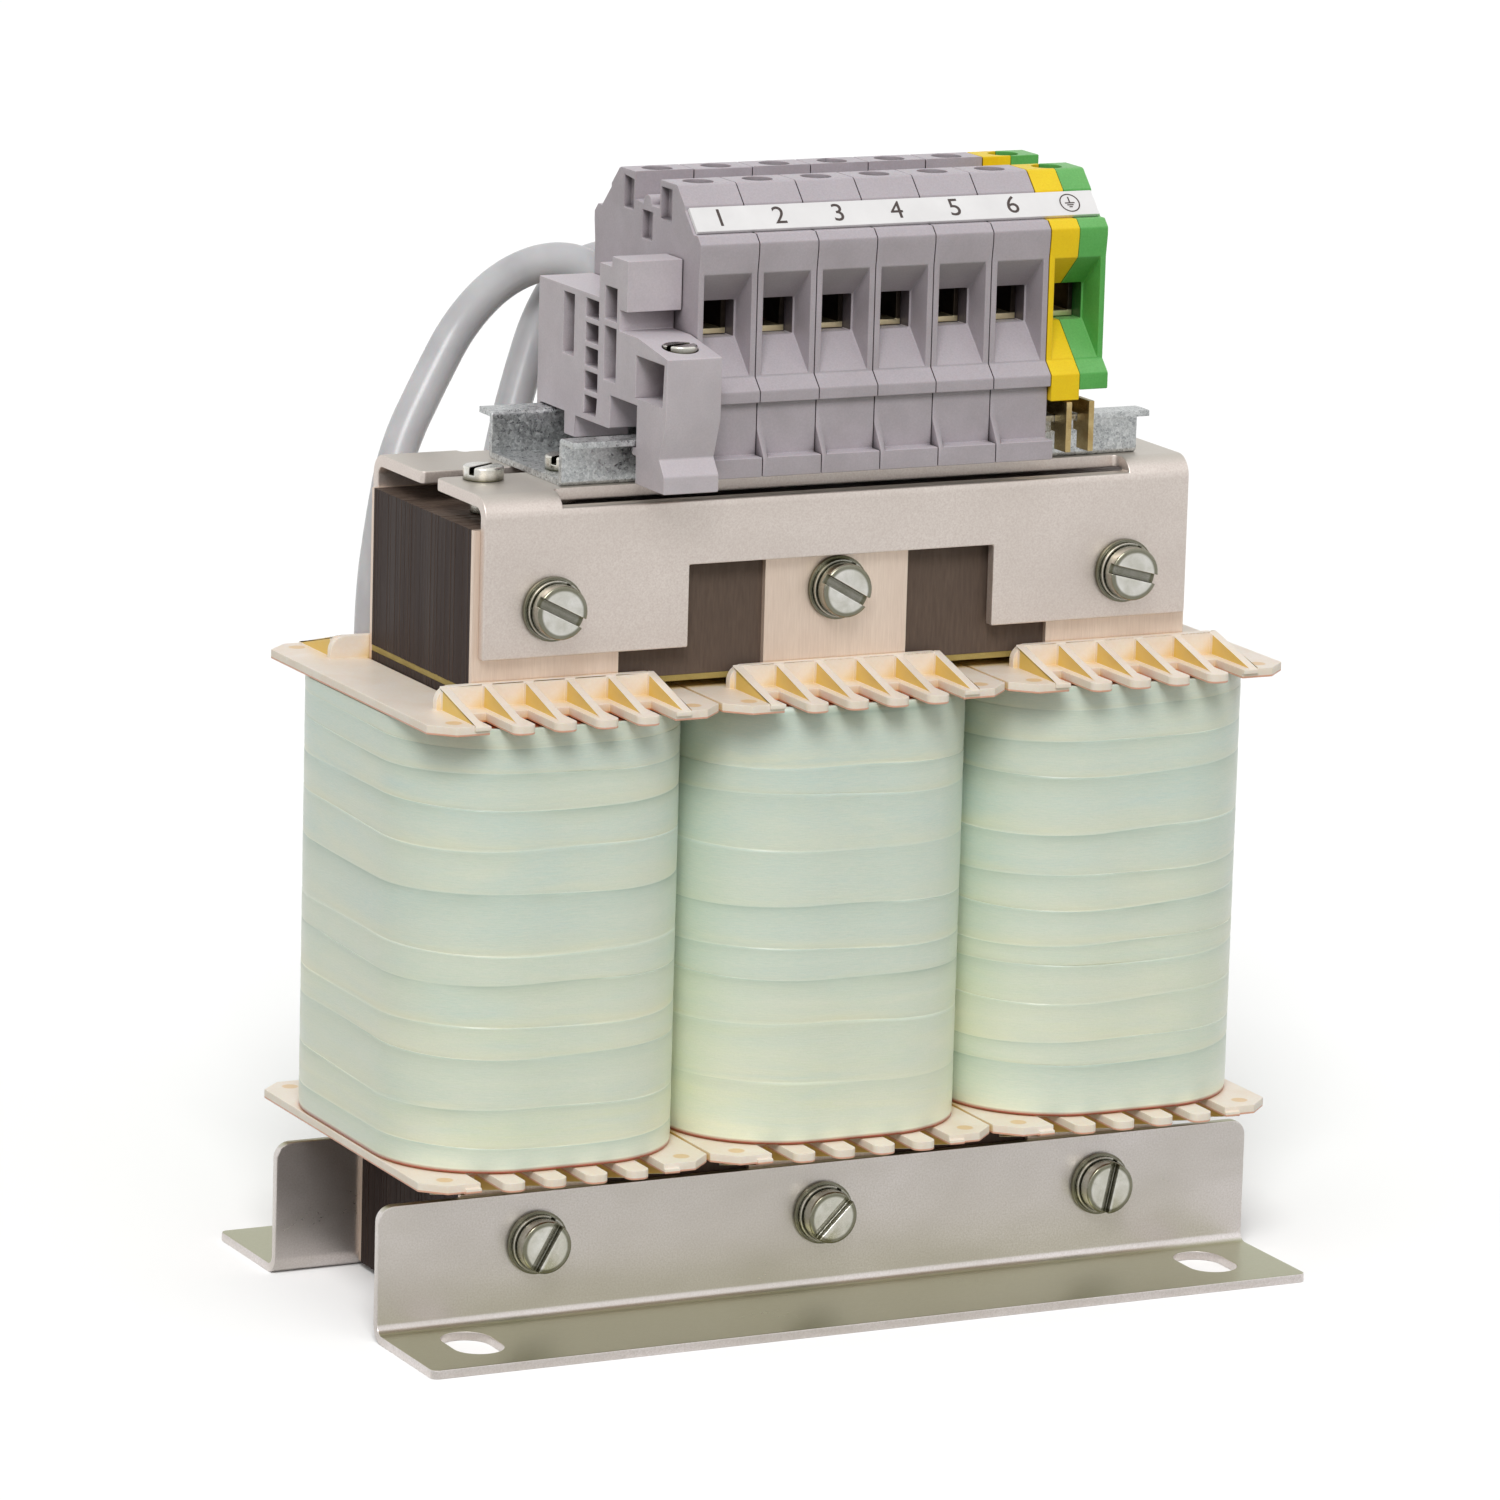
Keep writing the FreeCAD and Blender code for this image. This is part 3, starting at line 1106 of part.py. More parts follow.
def lead(number, side, hand, shares):
    """An insulated lead from its winding to a terminal, with its bare end in the rear cage."""
    points = lead_points(number, side, hand, shares)
    path, radii = tube_path(points)
    width = size("lead_width")
    section = Part.Wire(Part.Circle(points[0], points[1] - points[0], width/2).toShape())
    skin = path.makePipeShell([section], True, False)
    expected = path.Length*math.pi*width**2/4
    print(f"lead {number}: radii", [round(radius, 1) for radius in radii],
          "volume ratio", round(skin.Volume/expected, 4))
    bare = Part.makeCylinder(size("lead_wire_width")/2, size("lead_bare_length"), points[-1],
                             FreeCAD.Vector(0, -1, 0))
    group(f"lead_{number}", [skin.fuse(bare)])


# The whole choke

core_stack()
top_yoke()
air_gap_sheet()
for face, turned in (("front", False), ("rear", True)):
    base_angle(face, turned)
    top_bracket(face, turned, -1 if turned else 1)
    for name, side in SIDES:
        tie_plate(face, turned, name, side)
for name, side in SIDES:
    bobbin(name, side)
    winding(name, side)
clamp_bolts()
din_rail()
small_screws()
for number in range(1, TERMINALS):
    terminal_housing(number)
    current_bar(number)
earth_shell("yellow", -1, "earth_shell_base")
earth_shell("green", 1, "earth_green_base")
earth_foot()
terminal_clamps()
label_strip()
end_clamp()
end_clamp_screw()
for number, way in enumerate(LEAD_WAYS, 1):
    lead(number, *way)
document.recompute()

for item in document.Objects:
    if "Invalid" in item.State or "Error" in item.State:
        raise RuntimeError(f"{item.Label} could not be made")
for item in kept:
    if item.Shape.isNull() or not item.Shape.isValid():
        raise RuntimeError(f"{item.Label} has no valid shape")

os.makedirs("parts", exist_ok=True)
for item in kept:
    item.Shape.exportStep(f"parts/{item.Label}.step")
print(len(kept), "nodes written")
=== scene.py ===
"""Three-phase motor choke: laminated core, three taped coils, zinc angles and a row of rail terminals.

Metres, X along the core, the front towards -Y, Z up, the floor at Z 0. Sizes that stand in millimetres
are turned into metres by MM.
"""
import math
import random

import bmesh
import bpy
from mathutils import Matrix, Vector


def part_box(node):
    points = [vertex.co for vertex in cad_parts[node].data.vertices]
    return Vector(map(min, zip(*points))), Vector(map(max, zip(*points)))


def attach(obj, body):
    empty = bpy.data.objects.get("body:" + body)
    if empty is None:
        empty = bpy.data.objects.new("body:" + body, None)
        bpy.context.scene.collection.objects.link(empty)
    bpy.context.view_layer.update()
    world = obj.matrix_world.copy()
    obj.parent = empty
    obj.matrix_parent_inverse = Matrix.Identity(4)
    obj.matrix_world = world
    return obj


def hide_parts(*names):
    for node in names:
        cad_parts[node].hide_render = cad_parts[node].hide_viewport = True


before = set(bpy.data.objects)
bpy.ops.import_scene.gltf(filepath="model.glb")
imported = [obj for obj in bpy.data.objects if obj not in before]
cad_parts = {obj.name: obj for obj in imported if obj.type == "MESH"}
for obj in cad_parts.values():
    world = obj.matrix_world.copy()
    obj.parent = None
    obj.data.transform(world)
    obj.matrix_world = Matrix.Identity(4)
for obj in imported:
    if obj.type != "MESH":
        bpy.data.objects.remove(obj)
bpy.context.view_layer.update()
scene = bpy.context.scene


# The studio is a wide pale floor under an even white sky, with one soft lamp from the upper left.
# The camera stands far off, left of the front and a little above, behind a long lens.

CAMERA_PLACE = (-0.5685, -1.1302, 0.3571)
CAMERA_AZIMUTH, CAMERA_ELEVATION, CAMERA_ROLL = 26.516, 12.165, 1.596
CAMERA_LENS, SENSOR_WIDTH, CLIP_NEAR, CLIP_FAR = 194.8, 36.0, 0.05, 50.0
FLOOR_REACH = 6.0
SKY_AS_LAMP, SKY_IN_GLOSS = 0.56, 0.92
LAMP_TOWARDS, LAMP_ENERGY, LAMP_WIDTH = (-0.4, -0.75, 0.8), 1.5, 24.0


def studio_camera():
    """The camera at its place, looking down along its azimuth and elevation."""
    azimuth, elevation, roll = (math.radians(angle)
                                for angle in (CAMERA_AZIMUTH, CAMERA_ELEVATION, CAMERA_ROLL))
    back = Vector((-math.sin(azimuth)*math.cos(elevation), -math.cos(azimuth)*math.cos(elevation),
                   math.sin(elevation)))
    level = Vector((math.cos(azimuth), -math.sin(azimuth), 0))
    upright = back.cross(level)
    right = level*math.cos(roll) + upright*math.sin(roll)
    up = upright*math.cos(roll) - level*math.sin(roll)
    data = bpy.data.cameras.new("studio_camera")
    data.lens, data.sensor_width = CAMERA_LENS, SENSOR_WIDTH
    data.clip_start, data.clip_end = CLIP_NEAR, CLIP_FAR
    camera = bpy.data.objects.new("studio_camera", data)
    camera.matrix_world = Matrix((right, up, back)).transposed().to_4x4()
    camera.location = CAMERA_PLACE
    scene.collection.objects.link(camera)
    return camera


def join(tree, node, inputs):
    """A node's inputs, each set to a value or joined to another node's output."""
    for socket, value in inputs.items():
        if isinstance(value, bpy.types.NodeSocket):
            tree.links.new(value, node.inputs[socket])
        else:
            node.inputs[socket].default_value = value


def add(tree, kind, inputs=(), **settings):
    """A new shader node with its settings and inputs."""
    made = tree.nodes.new("ShaderNode" + kind)
    for name, value in settings.items():
        setattr(made, name, value)
    join(tree, made, dict(inputs))
    return made


def work(tree, operation, *values, **settings):
    """A number worked out from other numbers."""
    return add(tree, "Math", dict(enumerate(values)), operation=operation, **settings).outputs[0]


def blend_colours(tree, factor, first, second):
    """Two colours mixed by a value that changes over the surface."""
    return add(tree, "Mix", {0: factor, 6: first, 7: second}, data_type="RGBA").outputs[2]


def paint(red, green, blue):
    """A screen colour, each part from 0 to 255, as the linear colour that a shader takes."""
    parts = [value/255 for value in (red, green, blue)]
    return [part/12.92 if part <= 0.04045 else ((part + 0.055)/1.055)**2.4 for part in parts] + [1.0]


def floor_finish():
    """A pale matt floor that shows white to the camera and in gloss, and throws little light back."""
    made = bpy.data.materials.new("studio_floor")
    made.use_nodes = True
    tree = made.node_tree
    tree.nodes.clear()
    rays = add(tree, "LightPath").outputs
    seen = work(tree, "MAXIMUM", rays["Is Camera Ray"], rays["Is Glossy Ray"])
    grain = add(tree, "TexNoise", {"Scale": 40.0, "Detail": 3.0}).outputs["Fac"]
    pale = blend_colours(tree, grain, paint(249, 249, 248), paint(252, 252, 252))
    colour = blend_colours(tree, seen, paint(178, 182, 170), pale)
    surface = add(tree, "BsdfDiffuse", {"Color": colour, "Roughness": 1.0})
    add(tree, "OutputMaterial", {"Surface": surface.outputs[0]}, is_active_output=True)
    return made


def studio_floor():
    """One large level square at height nought."""
    corners = ((-1, -1), (1, -1), (1, 1), (-1, 1))
    mesh = bpy.data.meshes.new("studio_floor")
    mesh.from_pydata([(x*FLOOR_REACH, y*FLOOR_REACH, 0) for x, y in corners], [], [(0, 1, 2, 3)])
    mesh.materials.append(floor_finish())
    floor = bpy.data.objects.new("studio_floor", mesh)
    scene.collection.objects.link(floor)
    return floor


def white_sky():
    """An even sky, white to the camera, in gloss and through glass, and dimmer as a lamp."""
    world = bpy.data.worlds.new("studio_sky")
    world.use_nodes = True
    tree = world.node_tree
    tree.nodes.clear()
    rays = add(tree, "LightPath").outputs
    seen = work(tree, "MAXIMUM", rays["Is Camera Ray"], rays["Is Transmission Ray"])
    shiny = work(tree, "MULTIPLY", rays["Is Glossy Ray"], SKY_IN_GLOSS)
    strength = work(tree, "MAXIMUM", work(tree, "MAXIMUM", seen, shiny), SKY_AS_LAMP)
    sky = add(tree, "Background", {"Color": (1, 1, 1, 1), "Strength": strength})
    add(tree, "OutputWorld", {"Surface": sky.outputs[0]})
    return world


def soft_lamp():
    """A broad sun that leaves soft edges on the shadows."""
    data = bpy.data.lights.new("soft_lamp", "SUN")
    data.energy, data.angle = LAMP_ENERGY, math.radians(LAMP_WIDTH)
    lamp = bpy.data.objects.new("soft_lamp", data)
    lamp.rotation_euler = Vector(LAMP_TOWARDS).to_track_quat("Z", "Y").to_euler()
    scene.collection.objects.link(lamp)


scene.camera = studio_camera()
scene.view_settings.view_transform = "Standard"
studio_floor()
scene.world = white_sky()
soft_lamp()


# The core is a pack of oxidised iron sheets half a millimetre thick, punched as an E for the limbs and
# the lower yoke and as a bar for the upper yoke. The bolts squeeze each pack, so no sheet lies quite flush.

MM = 0.001
SHEET_PITCH, SHEET_THICKNESS, SHEET_WANDER = 0.5*MM, 0.455*MM, 0.045*MM
SAME_POINT = 0.001*MM


def coordinates(tree, stretch=(1.0, 1.0, 1.0)):
    """The place on the object in millimetres, stretched along each axis."""
    place = add(tree, "TexCoord").outputs["Object"]
    return add(tree, "VectorMath", {0: place, 1: [share/MM for share in stretch]},
               operation="MULTIPLY").outputs[0]


def facing(tree):
    """How far the surface faces along each axis, from -1 to 1."""
    return add(tree, "SeparateXYZ", {0: add(tree, "NewGeometry").outputs["Normal"]}).outputs


def ramp(tree, value, start, end):
    """0 where a value is at the start or before it, and 1 at the end or past it."""
    return add(tree, "MapRange", {0: value, 1: start, 2: end}).outputs[0]


def spread(tree, value, low, high):
    """A value from 0 to 1 laid out from low to high."""
    return add(tree, "MapRange", {0: value, 3: low, 4: high}).outputs[0]


def tint(tree, colour, mask, most, other):
    """A colour that turns into another where a mask rises to 1, there by the largest share."""
    return blend_colours(tree, spread(tree, mask, 0.0, most), colour, other)


def new_group(name, inputs, outputs):
    """An empty node group with named sockets, and its input and output nodes."""
    tree = bpy.data.node_groups.new(name, "ShaderNodeTree")
    for label, kind in inputs:
        tree.interface.new_socket(label, in_out="INPUT", socket_type="NodeSocket" + kind)
    for label, kind in outputs:
        tree.interface.new_socket(label, in_out="OUTPUT", socket_type="NodeSocket" + kind)
    return tree, tree.nodes.new("NodeGroupInput").outputs, tree.nodes.new("NodeGroupOutput")


def mottle_group():
    """Two sizes of soft noise: a slow change of tone, a fine grain, and both added as a height."""
    tree, given, result = new_group(
        "mottle", (("Place", "Vector"), ("Patch", "Float"), ("Grain", "Float"), ("Share", "Float")),
        (("Tone", "Float"), ("Fleck", "Float"), ("Height", "Float")))
    scales = [work(tree, "DIVIDE", 1.0, given[size]) for size in ("Patch", "Grain")]
    patch = add(tree, "TexNoise", {"Vector": given["Place"], "Scale": scales[0], "Detail": 3.0,
                                   "Roughness": 0.55, "Distortion": 0.4})
    grain = add(tree, "TexNoise", {"Vector": given["Place"], "Scale": scales[1], "Detail": 4.0,
                                   "Roughness": 0.6})
    tone = ramp(tree, patch.outputs["Fac"], 0.3, 0.7)
    fleck = ramp(tree, grain.outputs["Fac"], 0.3, 0.7)
    height = add(tree, "Mix", {0: given["Share"], 2: tone, 3: fleck}).outputs[0]
    join(tree, result, {"Tone": tone, "Fleck": fleck, "Height": height})
    return tree


MOTTLE = mottle_group()


def mottle(tree, patch, grain, share=0.7, stretch=(1.0, 1.0, 1.0)):
    """The mottle group placed in a material, its patch and grain in millimetres."""
    made = tree.nodes.new("ShaderNodeGroup")
    made.node_tree = MOTTLE
    join(tree, made, {"Place": coordinates(tree, stretch), "Patch": patch, "Grain": grain, "Share": share})
    return made.outputs


def blank(name):
    """A new material with its node tree and its shader."""
    made = bpy.data.materials.new(name)
    made.use_nodes = True
    return made, made.node_tree, made.node_tree.nodes["Principled BSDF"]


def raise_surface(tree, shader, height, depth, strength=0.5):
    """A bump of a given depth in millimetres."""
    bump = add(tree, "Bump", {"Height": height, "Distance": depth*MM, "Strength": strength})
    join(tree, shader, {"Normal": bump.outputs[0]})


def oxidised_iron():
    """Brown oxide, a little different on each sheet, rubbed in streaks, with painted shade darkening the
    sheared left ends.
    """
    made, tree, shader = blank("oxidised_lamination_iron")
    noise = mottle(tree, 9.0, 0.5, 0.8, (1.0, 1.0, 0.12))
    sheet = add(tree, "NewGeometry").outputs["Random Per Island"]
    base = blend_colours(tree, sheet, paint(82, 68, 60), paint(108, 93, 82))
    streaked = tint(tree, base, noise["Fleck"], 0.35, paint(130, 112, 98))
    patched = tint(tree, streaked, noise["Tone"], 0.4, paint(92, 78, 70))
    # Painted shade: faces turned towards -X, the core's left end, are darkened.
    left_end_shaded = ramp(tree, facing(tree)["X"], -0.5, -0.9)
    join(tree, shader, {"Base Color": tint(tree, patched, left_end_shaded, 0.8, paint(30, 14, 16)),
                        "Roughness": spread(tree, noise["Tone"], 0.48, 0.66),
                        "Metallic": 0.12, "Specular IOR Level": 0.25})
    raise_surface(tree, shader, noise["Height"], 0.03, 0.6)
    return made


def own_piece(name, mesh, finish, slot, *nodes):
    """A piece with its finish, riding on the choke in place of the nodes that it stands for."""
    piece = bpy.data.objects.new(name, mesh)
    scene.collection.objects.link(piece)
    mesh.materials.append(finish)
    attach(piece, "root")
    if nodes:
        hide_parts(*nodes)
    return piece


def front_outline(node):
    """The points, faces and rim edges of a CAD node's front, seen flat."""
    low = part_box(node)[0]
    source = bmesh.new()
    source.from_mesh(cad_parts[node].data)
    bmesh.ops.remove_doubles(source, verts=source.verts[:], dist=SAME_POINT)
    behind = [face for face in source.faces if any(vert.co.y - low.y > SAME_POINT for vert in face.verts)]
    bmesh.ops.delete(source, geom=behind, context="FACES")
    bmesh.ops.delete(source, geom=[vert for vert in source.verts if not vert.link_faces], context="VERTS")
    source.verts.index_update()
    outline = [(vert.co.x, vert.co.z) for vert in source.verts]
    faces = [[vert.index for vert in face.verts] for face in source.faces]
    rims = [[vert.index for vert in edge.verts] for edge in source.edges if len(edge.link_faces) == 1]
    source.free()
    return outline, faces, rims


def lamination_pack(node, finish, seed):
    """The front outline of a CAD stack repeated as thin sheets, each a hair out of line."""
    low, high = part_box(node)
    outline, faces, rims = front_outline(node)
    draw = random.Random(seed)
    points, surfaces = [], []
    count = round((high.y - low.y)/SHEET_PITCH)
    for sheet in range(count):
        start = low.y + (high.y - low.y)*sheet/count
        slip_x, slip_z = (draw.uniform(-SHEET_WANDER, SHEET_WANDER) for axis in range(2))
        first = len(points)
        for depth in (start, start + SHEET_THICKNESS):
            points += [(x + slip_x, depth, z + slip_z) for x, z in outline]
        step = len(outline)
        surfaces += [[first + corner for corner in face] for face in faces]
        surfaces += [[first + step + corner for corner in reversed(face)] for face in faces]
        surfaces += [(first + a, first + b, first + step + b, first + step + a) for a, b in rims]
    mesh = bpy.data.meshes.new(node + "_sheets")
    mesh.from_pydata(points, [], surfaces)
    shape = bmesh.new()
    shape.from_mesh(mesh)
    bmesh.ops.recalc_face_normals(shape, faces=shape.faces[:])
    shape.to_mesh(mesh)
    shape.free()
    own_piece(node + "_sheets", mesh, finish, "lamination_steel", node)


iron = oxidised_iron()
lamination_pack("core_stack", iron, seed=11)
lamination_pack("top_yoke_stack", iron, seed=12)


# The air gap is set by a strip of yellow pressboard laid across the three limbs under the upper yoke.
# It is cut with shears, so its rim is a little furry and shows its plies.

FLAT_TURN = math.radians(0.6)
EDGE_TURN = math.radians(33)
SLIVER_TURN = math.radians(12)
SOFT_TURN = math.cos(math.radians(40))


def even_normals(mesh):
    """Corner normals that follow the large faces and blend only over the small turns between them."""
    faces = [(face.normal.copy(), face.area) for face in mesh.polygons]
    around = [[] for vert in mesh.vertices]
    for number, face in enumerate(mesh.polygons):
        for corner in face.vertices:
            around[corner].append(number)
    normals = []
    for face in mesh.polygons:
        own = faces[face.index][0]
        for corner in face.vertices:
            total = Vector()
            for other in around[corner]:
                if own.dot(faces[other][0]) > SOFT_TURN:
                    total += faces[other][0]*faces[other][1]
            normals.append(total.normalized() if total.length > 0 else own)
    mesh.polygons.foreach_set("use_smooth", [True]*len(mesh.polygons))
    mesh.normals_split_custom_set(normals)


def break_edges(shape, rounding, turns):
    """Sharp edges take a small rounding, in millimetres, but not where a face ends in a sliver."""
    sharp = {edge for edge in shape.edges
             if len(edge.link_faces) == 2 and edge.calc_face_angle(0) > EDGE_TURN}
    for vert in shape.verts:
        for face in vert.link_faces:
            pair = [edge for edge in vert.link_edges if face in edge.link_faces]
            ways = [edge.other_vert(vert).co - vert.co for edge in pair]
            if len(pair) == 2 and ways[0].angle(ways[1], 0) < SLIVER_TURN:
                sharp.difference_update(pair)
    bmesh.ops.connect_verts_concave(shape, faces=shape.faces[:])
    sharp = [edge for edge in shape.edges if edge in sharp]
    bmesh.ops.bevel(shape, geom=sharp, offset=rounding*MM, segments=turns, profile=0.5, affect="EDGES",
                    clamp_overlap=False)


def dressed(node, finish, slot, rounding=0.2, turns=2):
    """A clean copy of a CAD node with its edges broken by a small rounding, in millimetres."""
    mesh = bpy.data.meshes.new(node + "_shape")
    shape = bmesh.new()
    shape.from_mesh(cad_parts[node].data)
    bmesh.ops.remove_doubles(shape, verts=shape.verts[:], dist=SAME_POINT)
    bmesh.ops.dissolve_limit(shape, angle_limit=FLAT_TURN, verts=shape.verts[:], edges=shape.edges[:])
    break_edges(shape, rounding, turns)
    shape.to_mesh(mesh)
    shape.free()
    even_normals(mesh)
    own_piece(node + "_dressed", mesh, finish, slot, node)


def yellow_pressboard():
    """Pressed yellow fibre in thin plies, darker where it is furred."""
    made, tree, shader = blank("yellow_pressboard")
    noise = mottle(tree, 6.0, 0.25, 0.8, (1.0, 1.0, 5.0))
    base = blend_colours(tree, noise["Tone"], paint(158, 136, 70), paint(190, 170, 100))
    join(tree, shader, {"Base Color": tint(tree, base, noise["Fleck"], 0.5, paint(120, 96, 44)),
                        "Roughness": 0.72})
    raise_surface(tree, shader, noise["Height"], 0.05, 0.7)
    return made


dressed("air_gap_sheet", yellow_pressboard(), "gap_board", 0.15)


# Six flat steel plates run up the limbs and tie both yokes together. They are sheared from cold-rolled
# strip, so a fine grain runs along them, and a thin film of varnish gives a faint pink warmth.

FACES = ("front", "rear")
LIMBS = ("left", "centre", "right")


def rolled_plate():
    """Pale rolled steel with a grain drawn out along the plate."""
    made, tree, shader = blank("varnished_tie_plate")
    noise = mottle(tree, 8.0, 0.22, 0.9, (1.0, 1.0, 0.06))
    base = blend_colours(tree, noise["Tone"], paint(234, 214, 198), paint(246, 228, 212))
    join(tree, shader, {"Base Color": tint(tree, base, noise["Fleck"], 0.4, paint(212, 192, 176)),
                        "Roughness": spread(tree, noise["Fleck"], 0.34, 0.5), "Metallic": 0.6})
    raise_surface(tree, shader, noise["Height"], 0.012, 0.5)
    return made


plate = rolled_plate()
for face in FACES:
    for limb in LIMBS:
        dressed(f"tie_plate_{face}_{limb}", plate, "tie_plate_steel", 0.1)


# Two angles of 1.5 mm zinc-plated sheet are the feet: an upright flange bolted to the lower yoke and a
# flat foot with a slot near each end. The plating is even and bright, and an olive reflection is painted on
# the feet.

def zinc_plating(name, dark, light, grain, level_reflection, gloss):
    """Zinc plating on rolled sheet: slow clouds, a fine grain, and a painted reflection tinting the level
    faces.
    """
    made, tree, shader = blank(name)
    clouds = mottle(tree, 16.0, 0.45, 0.5, (0.5, 1.0, 1.0))
    specks = mottle(tree, 3.0, 0.3, 0.9)
    base = blend_colours(tree, clouds["Tone"], dark, light)
    speckled = tint(tree, base, specks["Fleck"], 0.75, grain)
    # Painted reflection: faces that lie level take a tint for what they reflect.
    level = ramp(tree, facing(tree)["Z"], 0.6, 0.95)
    join(tree, shader, {"Base Color": tint(tree, speckled, level, 0.8, level_reflection),
                        "Roughness": spread(tree, clouds["Height"], gloss, gloss + 0.12), "Metallic": 0.85})
    raise_surface(tree, shader, clouds["Height"], 0.006, 0.15)
    return made


angle_zinc = zinc_plating("base_angle_zinc", dark=paint(220, 214, 208), light=paint(246, 240, 240),
                          grain=paint(210, 202, 196), level_reflection=paint(158, 160, 118), gloss=0.26)
for face in FACES:
    dressed(f"base_angle_{face}", angle_zinc, "base_zinc", 0.22)


# Two folded brackets of 2 mm sheet clamp the upper yoke, and their shelves carry the terminal rail.
# They are plated like the feet, but barrel-plated after folding, so they are duller and mottled.

# A grey reflection is painted on the level faces of the shelves.
bracket_zinc = zinc_plating("bracket_zinc", dark=paint(226, 216, 208), light=paint(238, 229, 222),
                            grain=paint(212, 198, 190), level_reflection=paint(206, 200, 190), gloss=0.38)
for face in FACES:
    dressed(f"top_bracket_{face}", bracket_zinc, "bracket_zinc", 0.28)


# Each bobbin is moulded in one piece from ivory thermoplastic: a square tube, two flanges cut into
# fingers, and a collar stiffened by gussets. Ochre shade is painted into its deep corners and on the
# gussets' left sides.

LIMB_PITCH = 50.0
BOBBIN_MIDDLE, BOBBIN_HALF_HEIGHT = 63.2, 36.8
GUSSET_ROOT = 21.8
FLANGE_UNDERSIDES, RIM_HEIGHT = (26.5, 98.4), 0.32
PIN_MARK_X, PIN_MARK_Y, PIN_MARK_RADIUS, PIN_MARK_BLUR = 20.2, 30.4, 1.3, 0.15


def place_parts(tree):
    """The place on the object in millimetres along each axis."""
    return add(tree, "SeparateXYZ", {0: coordinates(tree)}).outputs


def openness(tree, reach, first, last):
    """A ramp between two shares of open air round the surface, within a reach in millimetres."""
    air = add(tree, "AmbientOcclusion", {"Distance": reach*MM}, samples=8).outputs["AO"]
    return ramp(tree, air, first, last)


def gusset_ends(tree, place, ways):
    """1 on the left sides of the gussets, which stand on the outer sides of the flanges."""
    end_on = ramp(tree, ways["X"], -0.5, -0.95)
    out_y = work(tree, "GREATER_THAN", work(tree, "ABSOLUTE", place["Y"]), GUSSET_ROOT)
    between = work(tree, "COMPARE", place["Z"], BOBBIN_MIDDLE, BOBBIN_HALF_HEIGHT)
    return work(tree, "MULTIPLY", end_on, work(tree, "SUBTRACT", out_y, between, use_clamp=True))


def pin_marks(tree, place, ways):
    """1 on the round marks that the ejector pins leave on the flanges' corners, from above."""
    along = work(tree, "WRAP", place["X"], LIMB_PITCH/2, -LIMB_PITCH/2)
    spot = add(tree, "CombineXYZ", {0: work(tree, "ABSOLUTE", along),
                                    1: work(tree, "ABSOLUTE", place["Y"])}).outputs[0]
    away = add(tree, "VectorMath", {0: spot, 1: (PIN_MARK_X, PIN_MARK_Y, 0)},
               operation="DISTANCE").outputs["Value"]
    mark = ramp(tree, away, PIN_MARK_RADIUS + PIN_MARK_BLUR, PIN_MARK_RADIUS - PIN_MARK_BLUR)
    return work(tree, "MULTIPLY", mark, work(tree, "GREATER_THAN", ways["Z"], 0.9))


def ivory_moulding():
    """Ivory plastic with painted ochre shade in its corners and on the gussets, and orange along the
    flanges' rims.
    """
    made, tree, shader = blank("ivory_bobbin_plastic")
    noise = mottle(tree, 7.0, 0.5, 0.6)
    place, ways = place_parts(tree), facing(tree)
    base = blend_colours(tree, noise["Tone"], paint(244, 230, 214), paint(250, 241, 230))
    specked = tint(tree, base, noise["Fleck"], 0.25, paint(238, 214, 186))
    # Painted shade: deep corners, where little open air is near, turn ochre.
    cornered = blend_colours(tree, openness(tree, 3.2, 0.15, 0.6), paint(228, 192, 104), specked)
    # Painted shade: the left-facing sides of the gussets turn ochre.
    gusset_shaded = tint(tree, cornered, gusset_ends(tree, place, ways), 0.85, paint(230, 190, 58))
    marked = tint(tree, gusset_shaded, pin_marks(tree, place, ways), 0.55, paint(228, 176, 70))
    rim = work(tree, "MAXIMUM", *(work(tree, "COMPARE", place["Z"], underside, RIM_HEIGHT)
                                  for underside in FLANGE_UNDERSIDES))
    join(tree, shader, {"Base Color": tint(tree, marked, rim, 0.6, paint(226, 120, 66)),
                        "Roughness": spread(tree, noise["Fleck"], 0.36, 0.48), "Subsurface Weight": 0.12,
                        "Subsurface Radius": (1.0, 0.6, 0.3), "Subsurface Scale": 1.2*MM})
    raise_surface(tree, shader, noise["Height"], 0.03, 0.4)
    return made


ivory = ivory_moulding()
for limb in LIMBS:
    dressed(f"bobbin_{limb}", ivory, "bobbin_plastic", 0.15)


# Each coil is enamelled copper wire, closed by a wrap of thin translucent tape. The tape is wound in
# overlapping turns that climb a little, so every turn leaves a step, with a painted highlight above it and
# painted shade in the seam under it.

TAPE_BASE, TAPE_TOP = 28.15, 98.25
TURN_RISES, TURN_TONES, TURN_DEPTHS, LEAST_RISE = (3.2, 9.5), (0.0, 0.7), (0.3, 1.0), 2.0
TURN_LEANS, TURN_SETTLE, TURN_WOBBLE, FIRST_SEED = (0.5, 0.9), 5.0, 0.25, 21
WRAP_HALF_WIDTH, WRAP_HALF_DEPTH, WRAP_CORNER, WRAP_THICKNESS = 24.6, 31.0, 18.0, 1.0
CORNER_STEPS, SIDE_STEPS = 14, 10
LAP_STEPS = ((0.0, 0.09, -0.7), (0.04, 0.045, -1.0), (0.14, 0.03, -0.6), (0.3, 0.02, -0.1),
             (0.5, 0.0, 0.0), (0.78, 0.01, 0.25), (0.93, 0.02, 0.6), (0.985, 0.03, 1.0))
LAST_INWARD, LAST_TONE, LAST_SEAM = 0.036, 0.2, 0.4


